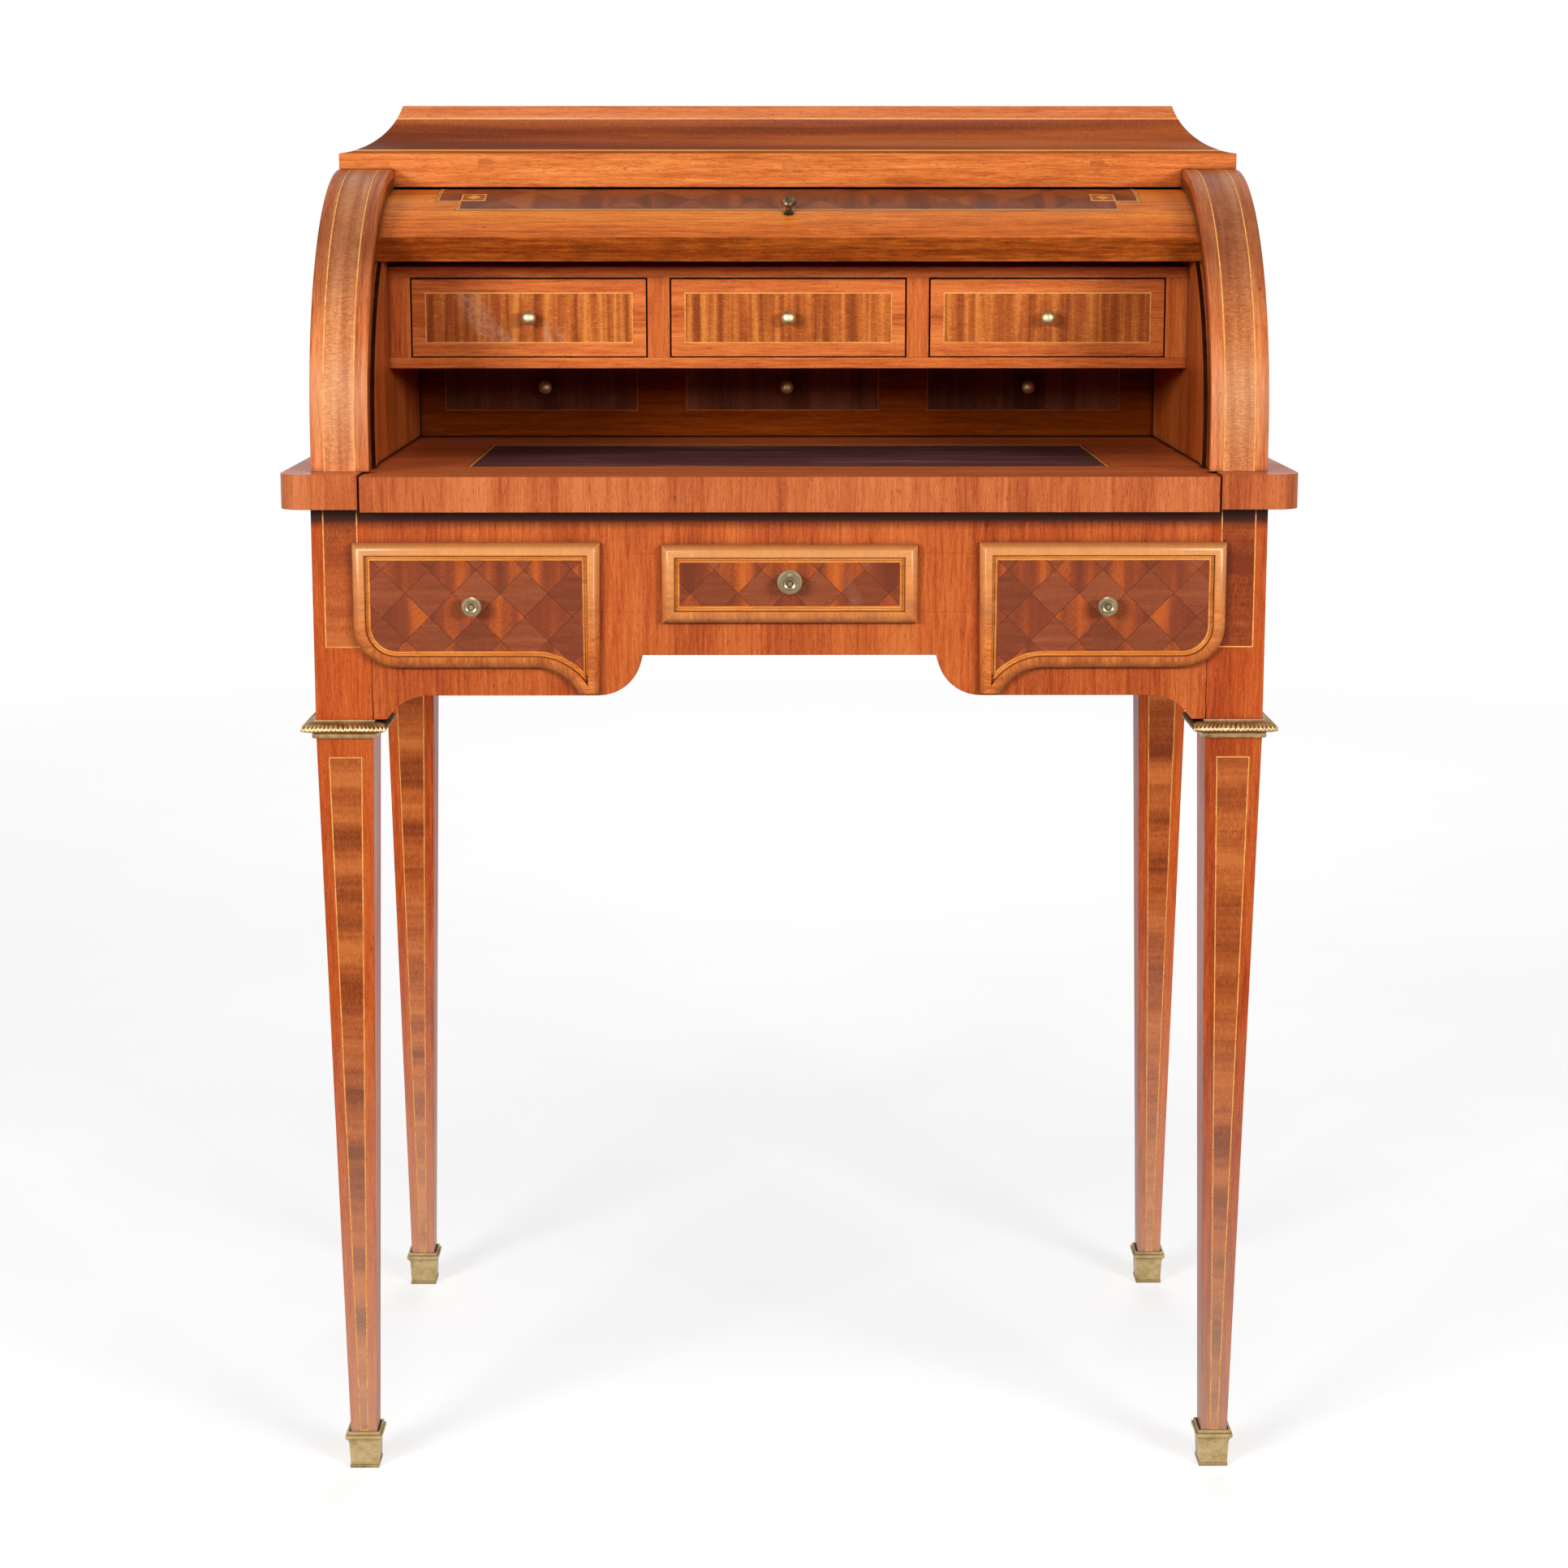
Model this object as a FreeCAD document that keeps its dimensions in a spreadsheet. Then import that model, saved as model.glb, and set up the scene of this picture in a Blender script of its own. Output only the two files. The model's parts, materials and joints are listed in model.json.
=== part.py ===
"""Cylinder desk: square tapered legs, three apron drawers, a writing slide and a cylinder fall.

Millimetres, +Z up, +Y towards the back. The origin is on the floor under the middle of the table top.
"""
import FreeCAD
import Part
import math
import os
import re
import Sketcher

# Driving sizes

SIZES = {
    # case and table top
    "case_height": 726.3,
    "top_width": 720,
    "top_depth": 453,
    "top_thick": 24.7,
    "top_overhang": 20,
    "top_corner": 17.5,
    "end_width": 56,
    "rail_width": 23.5,
    "running_gap": 0.5,
    "drawer_gap": 0.8,
    # legs, collars and sabots
    "leg_top": 41,
    "leg_foot": 18.5,
    "post_length": 166.3,
    "collar_height": 13.4,
    "collar_lip": 10,
    "collar_lip_rise": 6,
    "collar_lip_thick": 2,
    "collar_bead": 2,
    "collar_bead_height": 4,
    "sabot_floor": 3,
    "sabot_base_height": 2.5,
    "sabot_body_height": 20,
    "sabot_flare": 4,
    "sabot_lip_thick": 2.4,
    "sabot_step_height": 2.6,
    # sabot walls, measured outwards from the foot of the leg
    "sabot_hole_out": 0.7,
    "sabot_ankle_out": 1.15,
    "sabot_base_out": 1.55,
    "sabot_throat_out": 1.75,
    "sabot_body_out": 1.95,
    "sabot_step_out": 3.05,
    "sabot_lip_out": 4.4,
    # aprons
    "apron_thick": 22,
    "shoulder_flat": 10,
    "shoulder_run": 31,
    "shoulder_drop": 17.4,
    "lobe_margin": 2,
    "lobe_run": 31.5,
    "lobe_drop": 29.2,
    "bearer_height": 24.3,
    "bearer_width": 38,
    "dust_panel_thick": 5,
    # apron drawers
    "box_wall": 8,
    "box_bottom": 5,
    "box_front": 12,
    "box_length": 300,
    "box_headroom": 4.5,
    "runner_base": 26,
    "runner_thick": 10,
    "guide_thick": 6,
    "frame_proud": 9,
    "frame_width": 9,
    "frame_round": 3,
    "field_proud": 5.5,
    "post_lap": 12,
    "front_spacing": 44,
    "side_front_share": 0.659,
    "side_front_lap": 8.9,
    "side_front_corner": 31,
    "side_box_setback": 18.5,
    "side_box_rise": 20.5,
    "box_edge_lap": 10.5,
    "tip_width": 16,
    "tip_margin": 2.4,
    "hook_run": 31,
    "hook_drop": 17.8,
    "centre_front_lap": 7.3,
    "centre_front_margin": 23.4,
    "centre_box_rise": 8.1,
    "side_knob_shift": 2.5,
    "side_knob_rise": 0.8,
    "centre_knob_rise": 1.9,
    # knobs
    "knob_length": 14,
    "knob_head": 7,
    "knob_neck": 3.4,
    "knob_foot": 5.2,
    "knob_plate": 8.75,
    "small_knob_length": 13,
    "small_knob_head": 5.5,
    "small_knob_neck": 2.2,
    "small_knob_foot": 3.6,
    # writing slide
    "slide_drop": 1.5,
    "slide_lip": 2.3,
    "slide_lip_gap": 2,
    "tongue_reach": 7.5,
    "tongue_thick": 8,
    "tongue_rise": 9,
    "tongue_start": 200,
    "groove_start": 32,
    "leather_margin": 71.5,
    "leather_front": 63,
    "leather_depth": 193,
    "leather_thick": 2,
    # cheeks, linings and cylinder fall
    "cheek_front": 6,
    "cheek_rise": 27,
    "cheek_lip": 14.5,
    "roll_lead": 18.5,
    "groove_depth": 8,
    "lining_thick": 5,
    "fall_thick": 22,
    "fall_open_angle": 52.5,
    "fall_arc_angle": 103,
    "fall_knob_angle": 63.5,
    "stop_width": 22,
    "stop_height": 15.7,
    "back_panel_thick": 8,
    # cornice
    "cornice_lead": 11,
    "cornice_rail_thick": 22,
    "cornice_clearance": 1.5,
    "cornice_board": 11.5,
    "cap_height": 36.8,
    "cap_setback": 44,
    "cap_radius": 53.6,
    # gallery and rear drawer
    "gallery_lead": 36,
    "gallery_headroom": 36,
    "gallery_clearance": 3.5,
    "gallery_board": 8,
    "gallery_upright": 16.7,
    "small_front_thick": 12,
    "small_wall": 6,
    "small_bottom": 4,
    "rear_depth": 69,
    "rear_floor": 3,
    "rear_clearance": 1,
    "rear_box_margin": 5,
    "rear_box_back": 10,
}

# Places worked out from the driving sizes; y runs backwards from the middle of the table top

PLACES = {
    # plan of the case
    "half_top": "top_width / 2",
    "half_case": "half_top - top_overhang",
    "top_front": "-top_depth / 2",
    "top_back": "top_depth / 2",
    "front": "top_front + top_overhang",
    "case_back": "top_back - collar_lip",
    "case_middle": "(front + case_back) / 2",
    "post_inner": "half_case - leg_top",
    "leg_x": "half_case - leg_top / 2",
    "leg_front_y": "front + leg_top / 2",
    "post_front_inner": "front + leg_top",
    "post_back_inner": "case_back - leg_top",
    "apron_back": "front + apron_thick",
    "back_apron_front": "case_back - apron_thick",
    "side_apron_inner": "half_case - apron_thick",
    "back_panel_front": "case_back - back_panel_thick",
    # legs, collars and sabots
    "collar_base": "case_height - post_length",
    "collar_top": "collar_base + collar_height",
    "foot_half": "leg_foot / 2",
    "sabot_lip_low": "sabot_body_height + sabot_flare",
    "sabot_lip_top": "sabot_lip_low + sabot_lip_thick",
    "sabot_top": "sabot_lip_top + sabot_step_height",
    # heights in the apron, from its lower edge up and from the table top down
    "apron_low": "collar_top + shoulder_drop",
    "arch_height": "apron_low + lobe_drop",
    "dust_panel_top": "case_height - bearer_height",
    "dust_panel_low": "dust_panel_top - dust_panel_thick",
    "box_top": "dust_panel_low - box_headroom",
    "hole_top": "box_top + running_gap",
    "side_front_top": "box_top + side_front_lap",
    "side_front_tip": "apron_low + tip_margin",
    "side_front_low": "side_front_tip + hook_drop",
    "side_box_low": "side_front_low + side_box_rise",
    "side_hole_low": "side_box_low - running_gap",
    "centre_front_top": "box_top + centre_front_lap",
    "centre_front_low": "arch_height + centre_front_margin",
    "centre_box_low": "centre_front_low + centre_box_rise",
    "centre_hole_low": "centre_box_low - running_gap",
    # widths in the apron
    "side_front_outer": "post_inner + post_lap",
    "side_front_width": "(side_front_outer - front_spacing) * side_front_share",
    "side_front_inner": "side_front_outer - side_front_width",
    "side_box_outer": "side_front_outer - side_box_setback",
    "side_box_inner": "side_front_inner + box_edge_lap",
    "side_hole_outer": "side_box_outer + running_gap",
    "side_hole_inner": "side_box_inner - running_gap",
    "centre_front_half": "side_front_inner - front_spacing",
    "centre_box_half": "centre_front_half - box_edge_lap",
    "centre_hole_half": "centre_box_half + running_gap",
    "shoulder_x": "post_inner - shoulder_flat",
    "shoulder_end": "shoulder_x - shoulder_run",
    "shoulder_radius": "(shoulder_run ^ 2 + shoulder_drop ^ 2) / (2 * shoulder_drop)",
    "lobe_end": "side_front_inner + lobe_margin",
    "arch_half": "lobe_end - lobe_run",
    "lobe_radius": "(lobe_run ^ 2 + lobe_drop ^ 2) / (2 * lobe_drop)",
    # drawer fronts
    "lip_back": "front - running_gap",
    "frame_front": "front - frame_proud",
    "field_front": "front - field_proud",
    "box_back": "lip_back + box_length",
    "hook_start": "side_front_inner + tip_width + hook_run",
    "hook_radius": "(hook_run ^ 2 + hook_drop ^ 2) / (2 * hook_drop)",
    "hook_centre": "side_front_low - hook_radius",
    "field_outer": "side_front_outer - frame_width",
    "field_inner": "side_front_inner + frame_width",
    "field_top": "side_front_top - frame_width",
    "field_low": "side_front_low + frame_width",
    "field_hook": "hook_radius + frame_width",
    "field_tip": "hook_centre + sqrt(field_hook ^ 2 - (hook_start - field_inner) ^ 2)",
    "field_corner": "side_front_corner - frame_width",
    "side_knob_x": "(side_front_outer + side_front_inner) / 2 + side_knob_shift",
    "side_knob_z": "(side_front_top + side_front_low) / 2 + side_knob_rise",
    "centre_knob_z": "(centre_front_top + centre_front_low) / 2 + centre_knob_rise",
    "dome_half": "small_knob_head * 0.93",
    "dome_height": "small_knob_length * 0.2",
    "dome_radius": "(dome_half ^ 2 + dome_height ^ 2) / (2 * dome_height)",
    # table top and writing slide
    "top_z": "case_height + top_thick",
    "end_inner": "half_top - end_width",
    "slide_half": "end_inner - running_gap",
    "slide_z": "case_height + running_gap",
    "slide_top": "top_z - slide_drop",
    "slide_back": "top_back - rail_width - running_gap",
    "tongue_low": "slide_z + tongue_rise",
    "tongue_top": "tongue_low + tongue_thick",
    "leather_half": "slide_half - leather_margin",
    "leather_y": "front + leather_front",
    # cheeks and cylinder fall, round the axis of the roll
    "roll_y": "case_middle - roll_lead",
    "roll_z": "top_z + cheek_rise",
    "cheek_radius": "roll_y - front - cheek_front",
    "crest_z": "roll_z + cheek_radius",
    "groove_outer": "cheek_radius - cheek_lip",
    "fall_outer": "groove_outer - running_gap",
    "fall_inner": "fall_outer - fall_thick",
    "lining_radius": "fall_inner - running_gap",
    "groove_floor": "post_inner + groove_depth",
    "fall_half": "groove_floor - running_gap",
    "bay_half": "groove_floor - lining_thick",
    "far_angle": "fall_open_angle + fall_arc_angle",
    "stop_y": "roll_y - fall_inner * cos(far_angle)",
    "stop_top": "roll_z + fall_inner * sin(far_angle) - running_gap",
    # cornice
    "rail_front": "roll_y - cornice_lead",
    "rail_back": "rail_front + cornice_rail_thick",
    "rail_low": "roll_z + fall_outer + cornice_clearance",
    "board_top": "crest_z + cornice_board",
    "cap_top": "board_top + cap_height",
    # gallery inside the cylinder, and the rear drawer under it
    "shelf_top": "stop_top - stop_height",
    "shelf_z": "shelf_top - gallery_board",
    "gallery_y": "roll_y - gallery_lead",
    "gallery_top": "roll_z + fall_inner - gallery_headroom",
    "gallery_board_z": "gallery_top - gallery_board",
    "gallery_reach": "fall_inner - gallery_clearance",
    "gallery_back": "roll_y + sqrt(gallery_reach ^ 2 - (gallery_top - roll_z) ^ 2)",
    "gallery_opening": "(2 * bay_half - 4 * gallery_upright) / 3",
    "gallery_pitch": "gallery_opening + gallery_upright",
    "rear_y": "back_panel_front - rear_depth",
    "rear_front_back": "rear_y + small_front_thick",
    "rear_floor_top": "top_z + rear_floor",
    "rear_box_half": "bay_half - rear_box_margin",
    "rear_knob_spacing": "2 * rear_box_half / 3",
}

doc = FreeCAD.newDocument("cylinder_desk")
nodes = []


def formula(text):
    """A size formula in which every known word points at the sheet."""

    def lookup(match):
        word = match.group(0)
        return "Sizes." + word if word in SIZES or word in PLACES else word

    return re.sub(r"[a-z][a-z_]*", lookup, text)


def number(text):
    """The present value of a size formula."""
    return float(sheet.evalExpression(formula(text)))


def fill_sheet():
    """The spreadsheet that holds the driving sizes and the places worked out from them."""
    table = doc.addObject("Spreadsheet::Sheet", "Sizes")
    cells = {name: str(value) for name, value in SIZES.items()}
    cells.update((name, "=" + text) for name, text in PLACES.items())
    for row, (name, content) in enumerate(cells.items(), start=1):
        table.set(f"A{row}", name)
        table.set(f"B{row}", content)
        table.setAlias(f"B{row}", name)
    doc.recompute()
    return table


def node(piece, name):
    """Names a finished sub-part and puts it on the list to write."""
    piece.Label = name
    nodes.append(piece)
    return piece


# Building operations

def board(name, x, y, z):
    """Plain board between two formulas along each axis."""
    box = doc.addObject("Part::Box", name)
    for size, axis, (low, high) in (("Length", "x", x), ("Width", "y", y), ("Height", "z", z)):
        box.setExpression(size, formula(f"({high}) - ({low})"))
        box.setExpression(f"Placement.Base.{axis}", formula(low))
    return box


def arc_between(start, end, radius, turn):
    """Short arc of a circle; turn is 1 to the left and -1 to the right of the way from start to end."""
    chord = end - start
    height = math.sqrt(max(radius ** 2 - (chord.Length / 2) ** 2, 0))
    left = FreeCAD.Vector(-chord.y, chord.x, 0).normalize()
    centre = (start + end) / 2 + left * height * turn
    first, last = (start, end) if turn > 0 else (end, start)
    angles = [math.atan2(point.y - centre.y, point.x - centre.x) for point in (first, last)]
    if angles[1] < angles[0]:
        angles[1] += 2 * math.pi
    circle = Part.Circle(centre, FreeCAD.Vector(0, 0, 1), radius)
    return Part.ArcOfCircle(circle, *angles)


def place_point(sketch, geometry, position, value, axis):
    """Ties one coordinate of a sketch point to a formula."""
    if value == "0":
        line = -1 if axis == "Y" else -2
        sketch.addConstraint(Sketcher.Constraint("PointOnObject", geometry, position, line))
        return
    index = sketch.addConstraint(
        Sketcher.Constraint(f"Distance{axis}", geometry, position, number(value)))
    sketch.setExpression(f"Constraints[{index}]", formula(value))


def draw(sketch, outline):
    """Closed outline. A corner is (x, y), or (x, y, radius, turn) where an arc leads to the next corner."""
    corners = [FreeCAD.Vector(number(corner[0]), number(corner[1]), 0) for corner in outline]
    starts = []
    ends = []
    for index, corner in enumerate(outline):
        begin = corners[index]
        finish = corners[(index + 1) % len(corners)]
        if len(corner) == 2:
            starts.append((sketch.addGeometry(Part.LineSegment(begin, finish)), 1))
            ends.append((starts[-1][0], 2))
            continue
        radius, turn = corner[2:]
        arc = sketch.addGeometry(arc_between(begin, finish, number(radius), turn))
        starts.append((arc, 1 if turn > 0 else 2))
        ends.append((arc, 2 if turn > 0 else 1))
    for index, corner in enumerate(outline):
        sketch.addConstraint(Sketcher.Constraint("Coincident", *ends[index - 1], *starts[index]))
    for index, corner in enumerate(outline):
        place_point(sketch, *starts[index], corner[0], "X")
        place_point(sketch, *starts[index], corner[1], "Y")
        if len(corner) == 4:
            bound = sketch.addConstraint(
                Sketcher.Constraint("Radius", starts[index][0], number(corner[2])))
            sketch.setExpression(f"Constraints[{bound}]", formula(corner[2]))


def sketch_on(body, plane, offset, *outlines):
    """Sketch on one of the body's own planes, moved along the plane's normal."""
    sketch = body.newObject("Sketcher::SketchObject", body.Name + "_sketch")
    support = next(item for item in body.Origin.OriginFeatures if item.Role == plane + "_Plane")
    sketch.AttachmentSupport = [(support, "")]
    sketch.MapMode = "FlatFace"
    for axis, shift in zip("xyz", offset):
        if shift != "0":
            sketch.setExpression(f"AttachmentOffset.Base.{axis}", formula(shift))
    for outline in outlines:
        draw(sketch, outline)
    return sketch


def pad(body, plane, low, high, *outlines):
    """Adds the outlines to a body, thickened from low to high along the plane's axis."""
    shift = f"-({high})" if plane == "XZ" else low
    feature = body.newObject("PartDesign::Pad", body.Name + "_pad")
    feature.Profile = sketch_on(body, plane, ("0", "0", shift), *outlines)
    feature.setExpression("Length", formula(f"({high}) - ({low})"))
    return feature


def plate(name, plane, low, high, *outlines):
    """Body of one thickness with the given outlines."""
    body = doc.addObject("PartDesign::Body", name)
    pad(body, plane, low, high, *outlines)
    return body


def pocket(body, plane, face, depth, outline):
    """Recess in a body, from a face inwards, against the plane's normal."""
    doc.recompute()
    before = body.Shape.Volume
    feature = body.newObject("PartDesign::Pocket", body.Name + "_pocket")
    feature.Profile = sketch_on(body, plane, ("0", "0", face), outline)
    feature.setExpression("Length", formula(depth))
    doc.recompute()
    if body.Shape.Volume >= before:
        raise ValueError(body.Label + ": the recess removed nothing")
    return feature


def turned(name, x, y, z, outline):
    """Turned piece on an axis along y; the outline gives (distance behind the seat, radius)."""
    body = doc.addObject("PartDesign::Body", name)
    sketch = sketch_on(body, "YZ", (y, z, x), outline)
    feature = body.newObject("PartDesign::Revolution", name + "_turning")
    feature.Profile = sketch
    feature.ReferenceAxis = (sketch, ["H_Axis"])
    feature.Angle = 360
    return body


def mirrored(piece, name, axis="x", at="0"):
    """Twin of a piece on the other side of a plane across the given axis."""
    twin = doc.addObject("Part::Mirroring", name)
    twin.Source = piece
    twin.Normal = FreeCAD.Vector(1, 0, 0) if axis == "x" else FreeCAD.Vector(0, 1, 0)
    twin.setExpression(f"Base.{axis}", formula(at))
    return twin


def joined(kind, name, first, second):
    """Boolean of two pieces."""
    result = doc.addObject("Part::" + kind, name)
    result.Base = first
    result.Tool = second
    return result


def group(name, members):
    """Separate solids that share one node."""
    result = doc.addObject("Part::Compound", name)
    result.Links = members
    return node(result, name)


def rectangle(x, y):
    """Outline of a rectangle between two formulas along each sketch axis."""
    return [(x[0], y[0]), (x[1], y[0]), (x[1], y[1]), (x[0], y[1])]


def opposite(text):
    """Formula with its sign changed."""
    return f"-({text})"


def both_ways(half):
    """Span from minus to plus the same formula."""
    return opposite(half), half


# Legs and their bronze mounts

def square_at(middle_x, middle_y, width):
    """Square outline round a point."""
    half = f"({width}) / 2"
    return rectangle((f"{middle_x} - {half}", f"{middle_x} + {half}"),
                     (f"{middle_y} - {half}", f"{middle_y} + {half}"))


def tapered_leg(name):
    """Front left leg: a square post with a tapered leg lofted below it."""
    body = doc.addObject("PartDesign::Body", name)
    pad(body, "XY", "collar_base", "case_height", square_at("-leg_x", "leg_front_y", "leg_top"))
    taper = body.newObject("PartDesign::AdditiveLoft", name + "_taper")
    taper.Profile = sketch_on(body, "XY", ("0", "0", "collar_base"),
                              square_at("-leg_x", "leg_front_y", "leg_top"))
    taper.Sections = [sketch_on(body, "XY", ("0", "0", "sabot_floor"),
                                square_at("-leg_x", "leg_front_y", "leg_foot"))]
    taper.Ruled = True
    return body


def square_moulding(name, half_profile):
    """Moulding on a square plan round the front left leg, from one half of its section."""
    across = [(f"-leg_x + ({corner[0]})", *corner[1:]) for corner in half_profile]
    back = [(f"-leg_x - ({corner[0]})", corner[1]) for corner in half_profile]
    bends = [corner[2:] for corner in half_profile]
    for index in range(1, len(back)):
        if bends[index - 1]:
            radius, turn = bends[index - 1]
            back[index] = (*back[index], radius, turn)
    outline = across + back[::-1]
    along = [(corner[0].replace("-leg_x", "leg_front_y"), *corner[1:]) for corner in outline]
    reach = "leg_top"
    wide = plate(name + "_across", "XZ", f"leg_front_y - {reach}", f"leg_front_y + {reach}", outline)
    deep = plate(name + "_along", "YZ", f"-leg_x - {reach}", f"-leg_x + {reach}", along)
    return joined("Common", name + "_moulding", wide, deep)


def leg_box(name, width, z):
    """Square block on the front left leg's axis."""
    half = f"({width}) / 2"
    return board(name, (f"-leg_x - {half}", f"-leg_x + {half}"),
                 (f"leg_front_y - {half}", f"leg_front_y + {half}"), z)


def collar():
    """Bronze collar: bead, cove and sloping gadrooned lip round the post."""
    post = "leg_top / 2"
    lip_z = "collar_base + collar_lip_rise"
    section = [
        (f"{post} + collar_bead", "collar_base"),
        (f"{post} + collar_bead", "collar_base + collar_bead_height"),
        (f"{post} + collar_lip", lip_z),
        (f"{post} + collar_lip", f"{lip_z} + collar_lip_thick", "1.4 * collar_lip", 1),
        (f"{post} + collar_bead / 2", "collar_top"),
    ]
    solid = square_moulding("collar", section)
    hole = leg_box("collar_hole", "leg_top", ("collar_base", "collar_top"))
    return joined("Cut", "collar_ring", solid, hole)


def sabot():
    """Brass foot: a cup with a stepped lip and a throat wider than the leg."""
    section = [
        ("foot_half + sabot_base_out", "0"),
        ("foot_half + sabot_base_out", "sabot_base_height"),
        ("foot_half + sabot_ankle_out", "sabot_base_height"),
        ("foot_half + sabot_body_out", "sabot_body_height", "1.6 * sabot_flare", -1),
        ("foot_half + sabot_lip_out", "sabot_lip_low"),
        ("foot_half + sabot_lip_out", "sabot_lip_top"),
        ("foot_half + sabot_step_out", "sabot_lip_top"),
        ("foot_half + sabot_step_out", "sabot_top"),
    ]
    solid = square_moulding("sabot", section)
    hole = leg_box("sabot_socket", "leg_foot + 2 * sabot_hole_out", ("sabot_floor", "sabot_lip_low"))
    throat = leg_box("sabot_mouth", "leg_foot + 2 * sabot_throat_out", ("sabot_lip_low", "sabot_top"))
    return joined("Cut", "sabot_cup", solid, joined("Fuse", "sabot_inside", hole, throat))


def corner_twins(piece, name):
    """The piece and its twins at the other three legs, in the order of the legs."""
    right = mirrored(piece, name + "_front_right")
    back = mirrored(piece, name + "_back_left", "y", "case_middle")
    far = mirrored(back, name + "_back_right")
    return [piece, right, back, far]


def build_legs():
    """Four legs with their collars and sabots."""
    legs = corner_twins(tapered_leg("leg_front_left"), "leg")
    for leg, name in zip(legs, ("front_left", "front_right", "back_left", "back_right")):
        node(leg, "leg_" + name)
    group("leg_collars", corner_twins(collar(), "collar"))
    group("foot_sabots", corner_twins(sabot(), "sabot"))


# Aprons and the parts that carry the drawers

def build_aprons():
    """Front apron rails and stiles, side aprons and back apron."""
    thickness = ("front", "apron_back")
    lower = [
        ("-post_inner", "side_hole_low"),
        ("-post_inner", "collar_top"),
        ("-shoulder_x", "collar_top", "shoulder_radius", -1),
        ("-shoulder_end", "apron_low"),
        ("-lobe_end", "apron_low", "lobe_radius", 1),
        ("-arch_half", "arch_height"),
        ("arch_half", "arch_height", "lobe_radius", 1),
        ("lobe_end", "apron_low"),
        ("shoulder_end", "apron_low", "shoulder_radius", -1),
        ("shoulder_x", "collar_top"),
        ("post_inner", "collar_top"),
        ("post_inner", "side_hole_low"),
        ("side_hole_inner", "side_hole_low"),
        ("side_hole_inner", "centre_hole_low"),
        ("-side_hole_inner", "centre_hole_low"),
        ("-side_hole_inner", "side_hole_low"),
    ]
    node(plate("apron_lower_rail", "XZ", *thickness, lower), "apron_lower_rail")
    node(board("apron_top_rail", both_ways("post_inner"), thickness, ("hole_top", "case_height")),
         "apron_top_rail")
    inner = board("stile_inner", ("-side_hole_inner", "-centre_hole_half"), thickness,
                  ("centre_hole_low", "hole_top"))
    outer = board("stile_outer", ("-post_inner", "-side_hole_outer"), thickness,
                  ("side_hole_low", "hole_top"))
    group("apron_stiles", [outer, inner, mirrored(inner, "stile_inner_right"),
                           mirrored(outer, "stile_outer_right")])
    side = [
        ("post_front_inner", "case_height"),
        ("post_front_inner", "collar_top"),
        ("post_front_inner + shoulder_flat", "collar_top", "shoulder_radius", -1),
        ("post_front_inner + shoulder_flat + shoulder_run", "apron_low"),
        ("post_back_inner - shoulder_flat - shoulder_run", "apron_low", "shoulder_radius", -1),
        ("post_back_inner - shoulder_flat", "collar_top"),
        ("post_back_inner", "collar_top"),
        ("post_back_inner", "case_height"),
    ]
    left = node(plate("side_apron_left", "YZ", "-half_case", "-side_apron_inner", side), "side_apron_left")
    node(mirrored(left, "side_apron_right"), "side_apron_right")
    node(board("back_apron", both_ways("post_inner"), ("back_apron_front", "case_back"),
               ("apron_low", "case_height")), "back_apron")


def runner(name, edge, side, low):
    """Runner under one edge of a drawer box, with a guide beside it; side is 1 where the guide has larger x."""
    away = f"{edge} + {side} * running_gap"
    guide_top = f"({low} + hole_top) / 2"
    outline = [
        (f"{edge} - {side} * (runner_base - guide_thick)", f"{low} - runner_thick"),
        (f"{away} + {side} * guide_thick", f"{low} - runner_thick"),
        (f"{away} + {side} * guide_thick", guide_top),
        (away, guide_top),
        (away, low),
        (f"{edge} - {side} * (runner_base - guide_thick)", low),
    ]
    return plate(name, "XZ", "apron_back", "back_apron_front", outline)


def build_inner_frame():
    """Drawer runners, dust panel and the bearers under the writing slide."""
    left = [
        runner("runner_outer", "-side_box_outer", -1, "side_hole_low"),
        runner("runner_inner", "-side_box_inner", 1, "side_hole_low"),
        runner("runner_centre", "-centre_box_half", -1, "centre_hole_low"),
    ]
    group("drawer_runners", left + [mirrored(piece, piece.Name + "_right") for piece in left])
    node(board("dust_panel", both_ways("post_inner"), ("apron_back", "back_apron_front"),
               ("dust_panel_low", "dust_panel_top")), "dust_panel")
    bearer = board("bearer", ("-side_apron_inner", "-side_apron_inner + bearer_width"),
                   ("post_front_inner", "post_back_inner"), ("dust_panel_top", "case_height"))
    group("slide_bearers", [bearer, mirrored(bearer, "bearer_right")])


# Table top and writing slide

def end_board(name):
    """Left end of the table top, with a round front corner and a groove for the slide's tongue."""
    outline = [
        ("-end_inner", "top_front"),
        ("-end_inner", "top_back"),
        ("-half_top", "top_back"),
        ("-half_top", "top_front + top_corner", "top_corner", 1),
        ("-half_top + top_corner", "top_front"),
    ]
    body = plate(name, "XY", "case_height", "top_z", outline)
    groove = rectangle(("-end_inner - tongue_reach - running_gap", "-end_inner"),
                       ("top_front + groove_start", "top_back"))
    pocket(body, "XY", "tongue_top + running_gap", "tongue_thick + 2 * running_gap", groove)
    return body


def build_table_top():
    """End boards and the rail behind the slide."""
    left = node(end_board("top_end_left"), "top_end_left")
    node(mirrored(left, "top_end_right"), "top_end_right")
    node(board("top_back_rail", both_ways("end_inner"), ("top_back - rail_width", "top_back"),
               ("case_height", "top_z")), "top_back_rail")


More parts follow.
